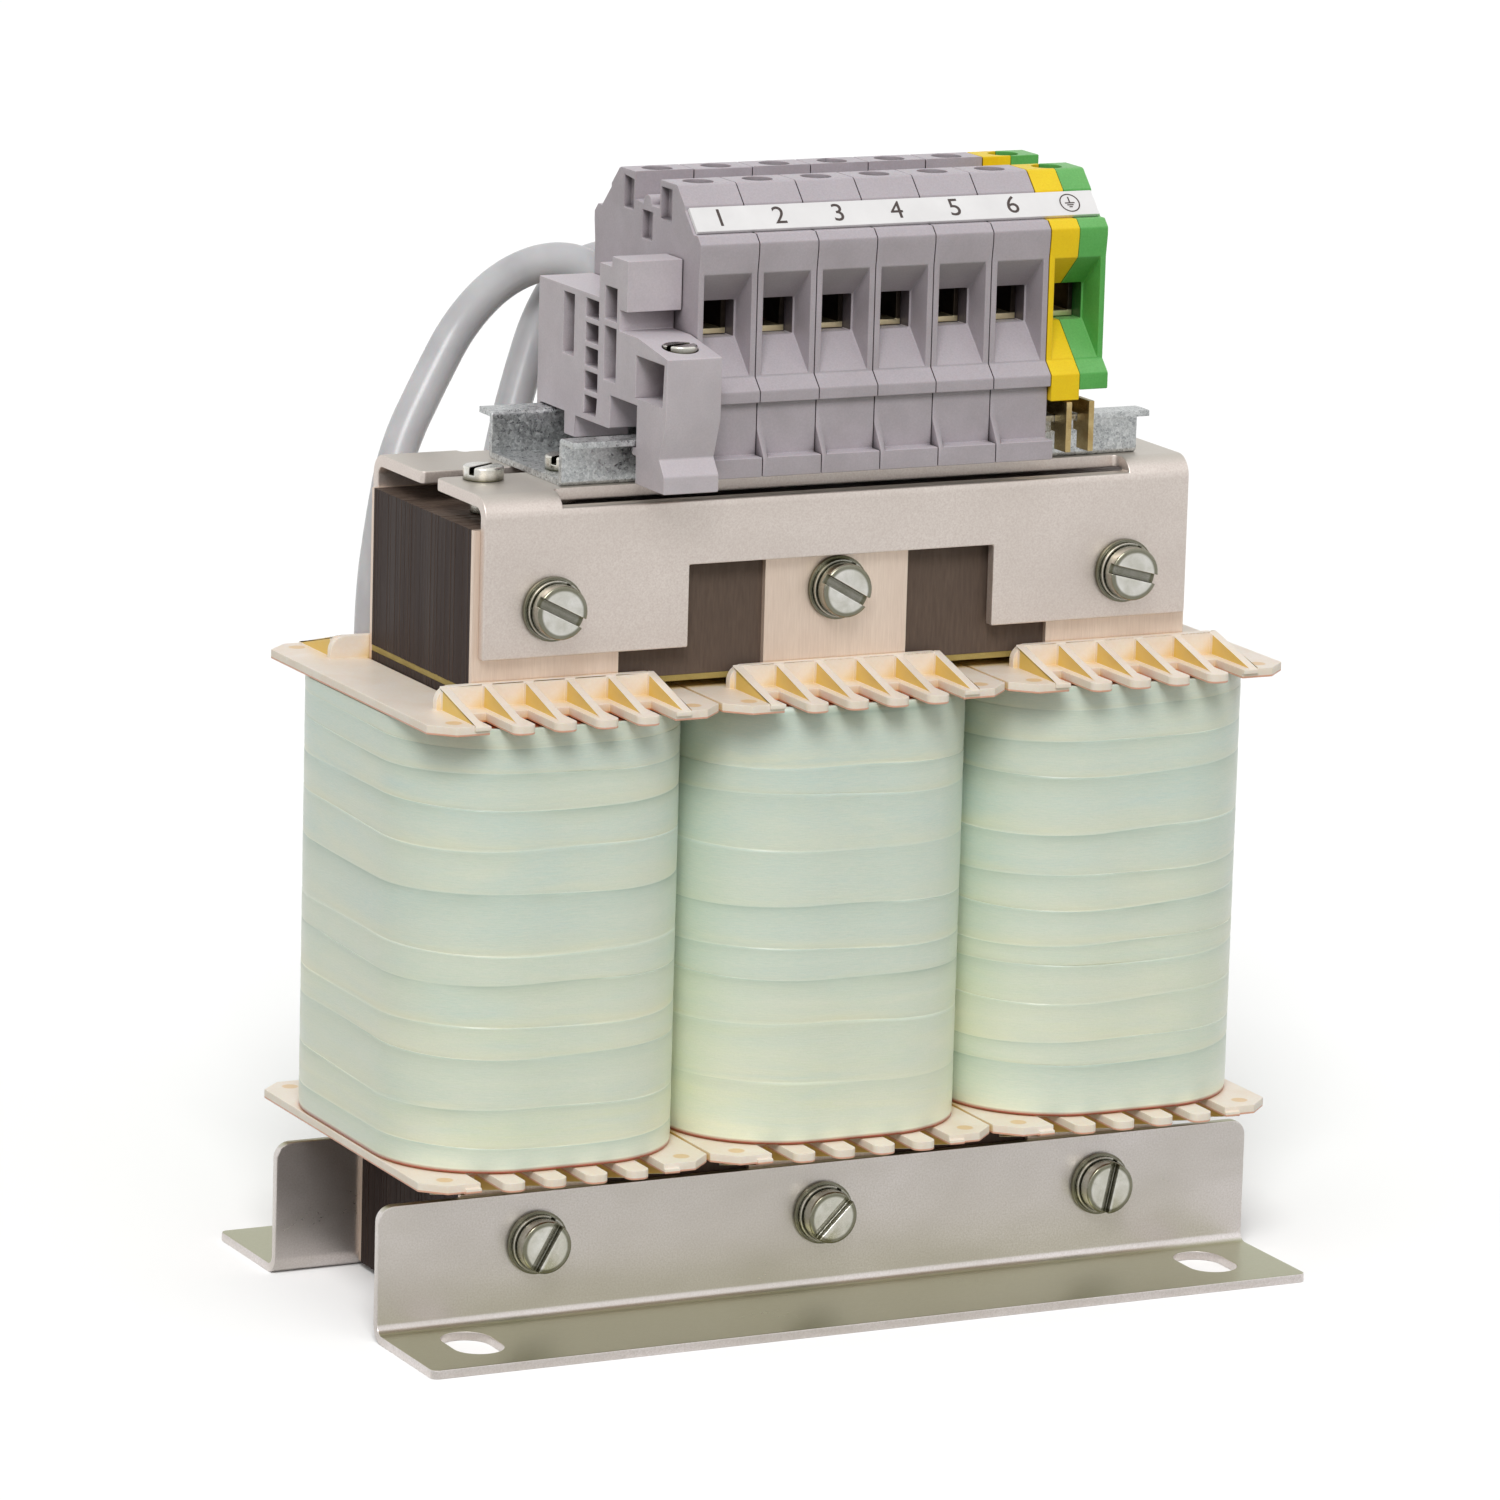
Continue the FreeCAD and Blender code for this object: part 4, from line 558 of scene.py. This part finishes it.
def copper_winding():
    """Red-brown enamel over copper, ribbed by its turns."""
    made, tree, shader = blank("enamelled_copper")
    noise = mottle(tree, 5.0, 0.3, 0.7, (1.0, 1.0, 2.0))
    turns = add(tree, "TexWave", {"Vector": coordinates(tree), "Scale": 0.35, "Distortion": 0.3},
                wave_type="BANDS", bands_direction="Z")
    base = blend_colours(tree, noise["Tone"], paint(140, 62, 30), paint(178, 88, 42))
    join(tree, shader, {"Base Color": base, "Metallic": 0.7, "Roughness": 0.32})
    raise_surface(tree, shader, turns.outputs["Fac"], 0.3, 0.8)
    return made


def tape_wrap():
    """Pale green film, warmer towards the foot, with a painted yellow highlight above each lap and painted
    blue-green shade in the seam below.
    """
    made, tree, shader = blank("translucent_winding_tape")
    noise = mottle(tree, 15.0, 0.9, 0.4, (0.6, 0.6, 2.0))
    haze = mottle(tree, 4.5, 0.35, 0.5, (0.22, 0.22, 1.7))
    weave = mottle(tree, 1.2, 0.3, 0.6)
    turn = add(tree, "Attribute", attribute_name="turn_tone", attribute_type="GEOMETRY").outputs["Fac"]
    seam = add(tree, "Attribute", attribute_name="seam", attribute_type="GEOMETRY").outputs["Fac"]
    height = place_parts(tree)["Z"]
    cool = blend_colours(tree, noise["Tone"], paint(214, 236, 226), paint(236, 244, 220))
    warm = blend_colours(tree, noise["Tone"], paint(242, 248, 208), paint(252, 252, 222))
    warmth = work(tree, "MULTIPLY", ramp(tree, height, 80.0, 30.0), spread(tree, haze["Tone"], 0.5, 1.1))
    toned = blend_colours(tree, turn, blend_colours(tree, warmth, cool, warm), paint(216, 234, 222))
    hazy = tint(tree, toned, haze["Fleck"], 0.4, paint(246, 248, 230))
    woven = tint(tree, hazy, weave["Fleck"], 0.16, paint(206, 216, 196))
    # Painted highlight: a pale yellow line along the lower edge of each lap.
    lap = work(tree, "MULTIPLY", ramp(tree, seam, 0.0, -1.0), spread(tree, haze["Tone"], 0.1, 0.7))
    lit = blend_colours(tree, lap, woven, paint(252, 250, 214))
    # Painted shade: a blue-green seam under each lap.
    shade = work(tree, "MULTIPLY", ramp(tree, seam, 0.0, 1.0), spread(tree, noise["Tone"], 0.2, 0.8))
    seamed = blend_colours(tree, shade, lit, paint(150, 174, 160))
    foot = ramp(tree, height, TAPE_BASE + 0.7, TAPE_BASE + 0.2)
    join(tree, shader, {"Base Color": blend_colours(tree, foot, seamed, paint(176, 92, 70)),
                        "Roughness": spread(tree, haze["Tone"], 0.3, 0.42), "Subsurface Weight": 0.3,
                        "Subsurface Radius": (0.95, 1.0, 0.8), "Subsurface Scale": 2.5*MM,
                        "Coat Weight": 0.25, "Coat Roughness": 0.25})
    raise_surface(tree, shader, haze["Height"], 0.05, 0.5)
    return made


def wrap_outline(inset):
    """The points round a wrap's rounded rectangle, drawn in by an inset, from its right side on."""
    radius = WRAP_CORNER - inset
    flat_x, flat_y = WRAP_HALF_WIDTH - inset - radius, WRAP_HALF_DEPTH - inset - radius
    quarters = ((1, 1, -1, 0), (-1, 1, 0, -1), (-1, -1, 1, 0), (1, -1, 0, 1))
    points = []
    for quarter, (side_x, side_y, run_x, run_y) in enumerate(quarters):
        for step in range(CORNER_STEPS + 1):
            turn = math.radians(90*(quarter + step/CORNER_STEPS))
            points.append((side_x*flat_x + radius*math.cos(turn), side_y*flat_y + radius*math.sin(turn)))
        start_x, start_y = points.pop()
        for share in (2*step/SIDE_STEPS for step in range(SIDE_STEPS)):
            points.append((start_x + run_x*flat_x*share, start_y + run_y*flat_y*share))
    return points


def tape_rows(seed):
    """Heights up a wrap with how far the tape lies in, its turn's tone and how near a seam is."""
    draw = random.Random(seed)
    rows, height = [], TAPE_BASE
    while height < TAPE_TOP - LEAST_RISE:
        rise = min(draw.uniform(*TURN_RISES), TAPE_TOP - height)
        tone, depth = draw.uniform(*TURN_TONES), draw.uniform(*TURN_DEPTHS)
        rows += [(height + share*rise, inward*depth, tone, seam*depth) for share, inward, seam in LAP_STEPS]
        height += rise
    rows.append((TAPE_TOP, LAST_INWARD, LAST_TONE, LAST_SEAM))
    return rows, draw


def tape_mesh(name, x, seed):
    """A closed shell in the wrap's shape, stepped where one turn of tape laps over the next."""
    rows, draw = tape_rows(seed)
    lean, start = draw.uniform(*TURN_LEANS), draw.uniform(0, 2*math.pi)
    points, tones, seams, surfaces = [], [], [], []
    count = len(wrap_outline(0))
    for number, (height, inward, tone, seam) in enumerate(rows):
        settled = min(1.0, (height - TAPE_BASE)/TURN_SETTLE, (TAPE_TOP - height)/TURN_SETTLE)
        for step, (across, deep) in enumerate(wrap_outline(inward)):
            turn = 2*math.pi*step/count
            climb = settled*(lean*math.sin(turn + start) + TURN_WOBBLE*math.sin(3*turn + number*0.5))
            points.append(((x + across)*MM, deep*MM, (height + climb)*MM))
        tones += [tone]*count
        seams += [seam]*count
    for height in (TAPE_TOP, TAPE_BASE):
        points += [((x + across)*MM, deep*MM, height*MM) for across, deep in wrap_outline(WRAP_THICKNESS)]
        tones += [0.0]*count
        seams += [1.0]*count
    levels = len(rows) + 2
    for level in range(levels):
        here, after = level*count, ((level + 1) % levels)*count
        for step in range(count):
            beside = (step + 1) % count
            surfaces.append((here + step, here + beside, after + beside, after + step))
    mesh = bpy.data.meshes.new(name)
    mesh.from_pydata(points, [], surfaces)
    for label, values in (("turn_tone", tones), ("seam", seams)):
        mesh.attributes.new(label, "FLOAT", "POINT").data.foreach_set("value", values)
    mesh.polygons.foreach_set("use_smooth", [True]*len(mesh.polygons))
    mesh.update()
    return mesh


tape = tape_wrap()
copper = copper_winding()
for number, limb in enumerate(LIMBS):
    own_piece(f"tape_{limb}", tape_mesh(f"tape_{limb}", LIMB_PITCH*(number - 1), FIRST_SEED + number),
              tape, "wrap_tape", f"wrap_{limb}")
    dressed(f"winding_{limb}", copper, "winding_copper", 0.1)


# Six slotted bolts with plain and spring washers squeeze the yokes between angles and brackets, and
# hexagonal nuts hold them behind. All are bright zinc over turned steel, with painted shade in their
# crevices and a painted dark ring on heads and washers.

LOWER_BOLTS, UPPER_BOLTS = 13.7, 114.7
RING_BLUR = 0.15
SPRING_INNER, SPRING_OUTER, SPRING_THICK, SPRING_LIFT = 2.65, 4.6, 0.8, 0.2
SPRING_STEPS, SPRING_CUT_AT, SPRING_CUT = 48, math.radians(62), math.radians(9)
ANGLE_SPRING_FACE, PLATE_SPRING_FACE, BRACKET_SHEET = -21.8, -20.3, 2.0


def bolt_ring(tree, inner, outer):
    """1 between two distances in millimetres from the nearest bolt's axis, which lies along Y."""
    place = place_parts(tree)
    across = work(tree, "WRAP", place["X"], LIMB_PITCH/2, -LIMB_PITCH/2)
    away = []
    for height in (LOWER_BOLTS, UPPER_BOLTS):
        spot = add(tree, "CombineXYZ", {0: across, 1: work(tree, "SUBTRACT", place["Z"], height)})
        away.append(add(tree, "VectorMath", {0: spot.outputs[0]}, operation="LENGTH").outputs["Value"])
    radius = work(tree, "MINIMUM", *away)
    return work(tree, "MULTIPLY", ramp(tree, radius, inner - RING_BLUR, inner + RING_BLUR),
                ramp(tree, radius, outer + RING_BLUR, outer - RING_BLUR))


def bright_fastener(name, ring=None):
    """Turned zinc with painted shade in its crevices, and a painted dark ring round each bolt's axis if its
    radii are given.
    """
    made, tree, shader = blank(name)
    noise = mottle(tree, 2.5, 0.2, 0.6)
    base = blend_colours(tree, noise["Tone"], paint(214, 212, 200), paint(246, 244, 238))
    # Painted reflection and shade: a dark ring on each head's chamfer and on each washer's outer part.
    if ring:
        base = tint(tree, base, bolt_ring(tree, *ring), 0.8, paint(104, 102, 74))
    # Painted shade: crevices, where little open air is near, turn dark olive.
    unshaded = openness(tree, 1.6, 0.5, 0.92)
    join(tree, shader, {"Base Color": blend_colours(tree, unshaded, paint(72, 70, 44), base),
                        "Roughness": spread(tree, noise["Fleck"], 0.16, 0.3), "Metallic": 1.0})
    raise_surface(tree, shader, noise["Height"], 0.012, 0.4)
    return made


def spring_washer(shape, x, face, height):
    """A square-sectioned ring cut once and sprung a little open, its axis along Y."""
    rings = []
    for step in range(SPRING_STEPS + 1):
        turn = SPRING_CUT_AT + SPRING_CUT/2 + (2*math.pi - SPRING_CUT)*step/SPRING_STEPS
        rise = SPRING_LIFT*step/SPRING_STEPS
        corners = ((SPRING_INNER, 0.0), (SPRING_OUTER, 0.0), (SPRING_OUTER, SPRING_THICK),
                   (SPRING_INNER, SPRING_THICK))
        rings.append([shape.verts.new(((x + radius*math.cos(turn))*MM, (face - depth - rise)*MM,
                                       (height + radius*math.sin(turn))*MM)) for radius, depth in corners])
    for before, after in zip(rings, rings[1:]):
        for corner in range(4):
            beside = (corner + 1) % 4
            shape.faces.new((before[corner], before[beside], after[beside], after[corner]))
    shape.faces.new(rings[0])
    shape.faces.new(list(reversed(rings[-1])))


def spring_washers():
    """One spring washer under the head of each bolt."""
    shape = bmesh.new()
    for limb in (-1, 0, 1):
        spring_washer(shape, LIMB_PITCH*limb, ANGLE_SPRING_FACE, LOWER_BOLTS)
        spring_washer(shape, LIMB_PITCH*limb, PLATE_SPRING_FACE - BRACKET_SHEET*abs(limb), UPPER_BOLTS)
    bmesh.ops.recalc_face_normals(shape, faces=shape.faces[:])
    break_edges(shape, 0.12, 2)
    mesh = bpy.data.meshes.new("spring_washers")
    shape.to_mesh(mesh)
    shape.free()
    even_normals(mesh)
    return mesh


fastener = bright_fastener("bright_fastener_zinc")
dressed("clamp_screws", bright_fastener("bolt_head_zinc", (3.45, 4.3)), "fastener_zinc", 0.16, 3)
dressed("clamp_washers", bright_fastener("washer_zinc", (4.75, 6.0)), "fastener_zinc", 0.14)
dressed("clamp_nuts", fastener, "fastener_zinc", 0.25)
own_piece("spring_washers", spring_washers(), fastener, "fastener_zinc", "clamp_spring_washers")


# The terminal rail is a standard hat profile rolled from hot-dipped strip, held by two screws. Its zinc
# has frozen in fine crystals, each turned its own way, so it glitters in small grey flecks.

def spangled_zinc():
    """Two sizes of zinc crystals, each with its own tone and gloss."""
    made, tree, shader = blank("spangled_rail_zinc")
    place = coordinates(tree)
    coarse, fine = (add(tree, "TexVoronoi", {"Vector": place, "Scale": scale, "Randomness": 1.0})
                    for scale in (1.7, 4.2))
    large = add(tree, "SeparateColor", {0: coarse.outputs["Color"]}).outputs[0]
    small = add(tree, "SeparateColor", {0: fine.outputs["Color"]}).outputs[1]
    both = add(tree, "Mix", {0: 0.5, 2: large, 3: small}).outputs[0]
    noise = mottle(tree, 9.0, 0.2, 0.5)
    base = blend_colours(tree, both, paint(150, 154, 156), paint(236, 238, 238))
    join(tree, shader, {"Base Color": tint(tree, base, noise["Tone"], 0.3, paint(196, 197, 194)),
                        "Roughness": spread(tree, both, 0.22, 0.5), "Metallic": 0.9})
    raise_surface(tree, shader, both, 0.03, 0.5)
    return made


dressed("din_rail", spangled_zinc(), "rail_zinc", 0.12)
dressed("rail_screws", fastener, "fastener_zinc", 0.14, 3)
dressed("earth_screw", fastener, "fastener_zinc", 0.14, 3)


# Six grey terminals clip on the rail side by side. Each housing is moulded polyamide, satin, with a
# screw shaft in both towers and a funnel to the wire socket; its tops are painted paler as if lit, and deep
# shade is painted into its sockets.

TERMINALS = range(1, 7)
FIRST_TERMINAL, TERMINAL_PITCH, ROW_MIDDLE = -21.2, 10.2, -2.2
SOCKET_HALF_WIDTH, SOCKET_REACH = 4.6, 13.62
SOCKET_MIDDLE, SOCKET_HALF_HEIGHT = 157.6, 2.9


def socket_walls(tree):
    """1 on the walls of the wire sockets and 0 elsewhere, repeated at the pitch of the row."""
    place = place_parts(tree)
    along = work(tree, "WRAP", work(tree, "SUBTRACT", place["X"], FIRST_TERMINAL),
                 TERMINAL_PITCH/2, -TERMINAL_PITCH/2)
    within_x = work(tree, "COMPARE", along, 0.0, SOCKET_HALF_WIDTH)
    within_y = work(tree, "COMPARE", place["Y"], ROW_MIDDLE, SOCKET_REACH)
    within_z = work(tree, "COMPARE", place["Z"], SOCKET_MIDDLE, SOCKET_HALF_HEIGHT)
    return work(tree, "MULTIPLY", work(tree, "MULTIPLY", within_x, within_y), within_z)


def polyamide(name, dark, light, fleck, painted_top_light, deep, sockets=True):
    """Satin moulded plastic with a fine grain, painted paler on level faces as if lit from above, and with
    painted shade in its creases and down its holes.
    """
    made, tree, shader = blank(name)
    noise = mottle(tree, 8.0, 0.28, 0.75)
    base = blend_colours(tree, noise["Tone"], dark, light)
    # Painted light: upward faces are made paler, as if lit from above.
    level = ramp(tree, facing(tree)["Z"], 0.4, 0.95)
    top_lit = tint(tree, base, level, 0.9, painted_top_light)
    flecked = tint(tree, top_lit, noise["Fleck"], 0.3, fleck)
    # Painted shade: creases take the darker fleck colour.
    unshaded = spread(tree, openness(tree, 1.5, 0.2, 0.6), 0.3, 1.0)
    creased = blend_colours(tree, unshaded, fleck, flecked)
    # Painted shade: deep holes and the walls of the wire sockets take the deep colour.
    inside = openness(tree, 6.0, 0.5, 0.22)
    if sockets:
        inside = work(tree, "MAXIMUM", inside, socket_walls(tree))
    join(tree, shader, {"Base Color": tint(tree, creased, inside, 0.85, deep),
                        "Roughness": spread(tree, noise["Fleck"], 0.4, 0.54),
                        "Subsurface Weight": 0.06, "Subsurface Scale": 0.8*MM})
    raise_surface(tree, shader, noise["Height"], 0.02, 0.45)
    return made


grey = polyamide("grey_terminal_polyamide", dark=paint(174, 165, 170), light=paint(187, 178, 184),
                 fleck=paint(146, 138, 143), painted_top_light=paint(204, 196, 202), deep=paint(60, 50, 54))
for number in TERMINALS:
    dressed(f"terminal_housing_{number}", grey, "terminal_grey", 0.2)


# Inside each terminal a plated bar joins two clamping cages, each closed by a screw from above. Only
# the floor of a cage shows in its socket, as a bright brassy line.

CAGE_FLOOR_TOP, CAGE_FLOOR_BLUR = 155.6, 0.1


def plated_brass():
    """Tinned brass, warm where the tin is thin."""
    made, tree, shader = blank("tinned_contact_brass")
    noise = mottle(tree, 3.0, 0.25, 0.6)
    base = blend_colours(tree, noise["Tone"], paint(176, 148, 96), paint(214, 192, 140))
    join(tree, shader, {"Base Color": base, "Roughness": spread(tree, noise["Fleck"], 0.24, 0.4),
                        "Metallic": 1.0})
    raise_surface(tree, shader, noise["Height"], 0.01, 0.4)
    return made


def dark_clamp_steel():
    """Dark passivated steel, bright on the floors of the cages."""
    made, tree, shader = blank("passivated_clamp_steel")
    noise = mottle(tree, 3.0, 0.2, 0.6)
    base = blend_colours(tree, noise["Tone"], paint(44, 38, 34), paint(70, 60, 50))
    floor = ramp(tree, place_parts(tree)["Z"], CAGE_FLOOR_TOP + CAGE_FLOOR_BLUR,
                 CAGE_FLOOR_TOP - CAGE_FLOOR_BLUR)
    join(tree, shader, {"Base Color": blend_colours(tree, floor, base, paint(240, 226, 184)),
                        "Roughness": spread(tree, noise["Fleck"], 0.3, 0.45), "Metallic": 0.9})
    raise_surface(tree, shader, noise["Height"], 0.01, 0.4)
    return made


brass = plated_brass()
for number in TERMINALS:
    dressed(f"current_bar_{number}", brass, "contact_brass", 0.12)
dressed("terminal_cages", dark_clamp_steel(), "clamp_steel", 0.12)
dressed("terminal_screws", fastener, "clamp_steel", 0.12)


# The earth terminal closes the row. Its housing is moulded in two halves, yellow and green, round a
# metal foot whose legs grip the rail and join the earth lead to it.

yellow = polyamide("earth_yellow_polyamide", dark=paint(244, 202, 0), light=paint(252, 216, 0),
                   fleck=paint(226, 180, 0), painted_top_light=paint(252, 222, 40), deep=paint(150, 104, 0))
green = polyamide("earth_green_polyamide", dark=paint(84, 168, 76), light=paint(104, 186, 96),
                  fleck=paint(56, 140, 54), painted_top_light=paint(132, 200, 122), deep=paint(22, 70, 30))
dressed("pe_shell_yellow", yellow, "terminal_yellow", 0.2)
dressed("pe_shell_green", green, "terminal_green", 0.2)
dressed("pe_foot", brass, "contact_brass", 0.12)


# A white marking strip lies in the sloping seat along the front of the row, printed in black with the
# terminals' numbers and the earth sign. The ink stands a hair above the plastic.

PRINT_SIZE = 4.624*MM
PRINT_DEPTH, PRINT_LIFT = 0.03*MM, 0.02*MM
STRIP_HALF_THICKNESS, STRIP_LEAN = 0.35*MM, math.radians(45)
SIGN_STEPS, SIGN_OUTER, SIGN_INNER = 48, 1.75*MM, 1.55*MM
SIGN_BARS = ((0.55, 0.11, 0.6), (0.0, 0.85, 0.1), (-0.38, 0.56, 0.1), (-0.76, 0.28, 0.1))


def strip_plastic():
    """White plastic, barely toned."""
    made, tree, shader = blank("white_marking_strip")
    noise = mottle(tree, 6.0, 0.4, 0.6)
    base = blend_colours(tree, noise["Tone"], paint(235, 233, 233), paint(243, 241, 241))
    join(tree, shader, {"Base Color": base, "Roughness": spread(tree, noise["Fleck"], 0.3, 0.42)})
    raise_surface(tree, shader, noise["Height"], 0.01, 0.3)
    return made


def print_ink():
    """Brown-black ink, a little uneven."""
    made, tree, shader = blank("printed_marking")
    noise = mottle(tree, 1.0, 0.12, 0.6)
    base = blend_colours(tree, noise["Fleck"], paint(62, 52, 50), paint(84, 72, 68))
    join(tree, shader, {"Base Color": base, "Roughness": 0.6})
    return made


def printed(name, mesh, terminal):
    """A mark laid on the strip over a terminal, counted from nought."""
    strip_low, strip_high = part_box("label_strip")
    outward = Vector((0, -1, 1)).normalized()
    middle = (strip_low + strip_high)/2 + outward*(STRIP_HALF_THICKNESS + PRINT_LIFT)
    middle.x = (FIRST_TERMINAL + terminal*TERMINAL_PITCH)*MM
    mesh.transform(Matrix.Translation(middle) @ Matrix.Rotation(STRIP_LEAN, 4, "X"))
    own_piece(name, mesh, ink, "label_white")


def numeral(number):
    """A number as a thin solid."""
    words = bpy.data.curves.new(f"mark_{number}", "FONT")
    words.body = str(number)
    words.size, words.extrude = PRINT_SIZE, PRINT_DEPTH
    words.align_x, words.align_y = "CENTER", "CENTER"
    drawn = bpy.data.objects.new("mark", words)
    mesh = bpy.data.meshes.new_from_object(drawn)
    bpy.data.objects.remove(drawn)
    return mesh


def earth_sign():
    """A ring round a stem that stands on three bars, each shorter than the one above."""
    shape = bmesh.new()
    corners = ((SIGN_OUTER, 0), (SIGN_OUTER, PRINT_DEPTH), (SIGN_INNER, PRINT_DEPTH), (SIGN_INNER, 0))
    rings = [[shape.verts.new((radius*math.cos(turn), radius*math.sin(turn), height))
              for turn in (2*math.pi*step/SIGN_STEPS for step in range(SIGN_STEPS))]
             for radius, height in corners]
    for before, after in zip(rings, rings[1:] + rings[:1]):
        for step in range(SIGN_STEPS):
            beside = (step + 1) % SIGN_STEPS
            shape.faces.new((before[step], before[beside], after[beside], after[step]))
    for y, half_width, half_height in SIGN_BARS:
        bar = Matrix.Diagonal((2*half_width*MM, 2*half_height*MM, PRINT_DEPTH, 1))
        bmesh.ops.create_cube(shape, size=1.0, matrix=Matrix.Translation((0, y*MM, PRINT_DEPTH/2)) @ bar)
    bmesh.ops.recalc_face_normals(shape, faces=shape.faces[:])
    mesh = bpy.data.meshes.new("earth_sign")
    shape.to_mesh(mesh)
    shape.free()
    return mesh


dressed("label_strip", strip_plastic(), "label_white", 0.1)
ink = print_ink()
for number in TERMINALS:
    printed(f"mark_{number}", numeral(number), number - 1)
printed("earth_sign", earth_sign(), len(TERMINALS))


# The end clamp beside the first terminal keeps the row from sliding. It is moulded in a paler grey,
# ribbed and hollowed on its side, and a screw in its front lobe draws its foot against the rail.

stop_grey = polyamide("end_clamp_polyamide", dark=paint(196, 187, 192), light=paint(208, 199, 204),
                      fleck=paint(168, 160, 165), painted_top_light=paint(216, 208, 213), deep=paint(96, 84, 90),
                      sockets=False)
dressed("end_clamp", stop_grey, "clamp_grey", 0.22)
dressed("end_clamp_screw", fastener, "fastener_zinc", 0.16, 3)


# Two insulated leads leave the top of each coil at the rear, bow outwards and hook over into the rear
# sockets of the terminals. They are stranded wire in soft grey jackets that take a sheen along the bends.

LEAD_HALF_WIDTH, WIRE_HALF_WIDTH = 3.0*MM, 2.25*MM
BARE_LENGTH = 9.5
ROUTE_DEPTHS = (26.7, 26.7, 29.5, 32.5, 35.0, 36.6, 34.2, 28.2, 20.5, 12.4)
ROUTE_HEIGHTS = (98.25, 107.83, 118.98, 130.48, 141.02, 150.0, 157.43, 161.03, 158.15, 158.15)
ROUTES = (
    (-58.8, -58.8, -56.09, -52.6, -45.9, -40.0, -33.42, -26.46, -21.2, -21.2),
    (-41.2, -41.2, -37.21, -34.01, -29.91, -26.19, -22.78, -17.04, -11.0, -11.0),
    (-8.8, -8.8, -8.4, -7.2, -5.6, -4.0, -2.4, -1.2, -0.8, -0.8),
    (8.8, 8.8, 8.92, 9.04, 9.16, 9.25, 9.34, 9.4, 9.4, 9.4),
    (41.2, 41.2, 39.04, 36.45, 32.99, 29.75, 26.3, 22.41, 19.6, 19.6),
    (58.8, 58.8, 56.77, 53.87, 48.94, 44.01, 38.79, 33.57, 29.8, 29.8),
)


def lead_jacket():
    """Soft light grey plastic with a thin gloss."""
    made, tree, shader = blank("grey_lead_jacket")
    noise = mottle(tree, 10.0, 0.4, 0.6)
    base = blend_colours(tree, noise["Tone"], paint(184, 183, 186), paint(202, 201, 203))
    join(tree, shader, {"Base Color": base, "Roughness": spread(tree, noise["Fleck"], 0.28, 0.4),
                        "Subsurface Weight": 0.2, "Subsurface Scale": 1.5*MM,
                        "Coat Weight": 0.3, "Coat Roughness": 0.2})
    raise_surface(tree, shader, noise["Height"], 0.02, 0.4)
    return made


def smooth_line(name, points, half_width, finish):
    """A round line along a smooth spline that is pulled towards its points, given in millimetres."""
    curve = bpy.data.curves.new(name, "CURVE")
    curve.dimensions = "3D"
    curve.bevel_depth, curve.bevel_resolution = half_width, 8
    curve.use_fill_caps = True
    spline = curve.splines.new("NURBS")
    spline.points.add(len(points) - 1)
    for held, point in zip(spline.points, points):
        held.co = (*[length*MM for length in point], 1.0)
    spline.order_u = 3
    spline.use_endpoint_u = True
    spline.resolution_u = 16
    curve.materials.append(finish)
    piece = bpy.data.objects.new(name, curve)
    scene.collection.objects.link(piece)
    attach(piece, "root")
    return piece


jacket = lead_jacket()
for number, route in enumerate(ROUTES, 1):
    points = list(zip(route, ROUTE_DEPTHS, ROUTE_HEIGHTS))
    lead = smooth_line(f"lead_{number}_jacket", points, LEAD_HALF_WIDTH, jacket)
    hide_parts(f"lead_{number}")
    bare = [Vector(points[-1]) - Vector((0, BARE_LENGTH*share, 0)) for share in (0, 0.5, 1)]
    smooth_line(f"lead_{number}_strands", bare, WIRE_HALF_WIDTH, copper)
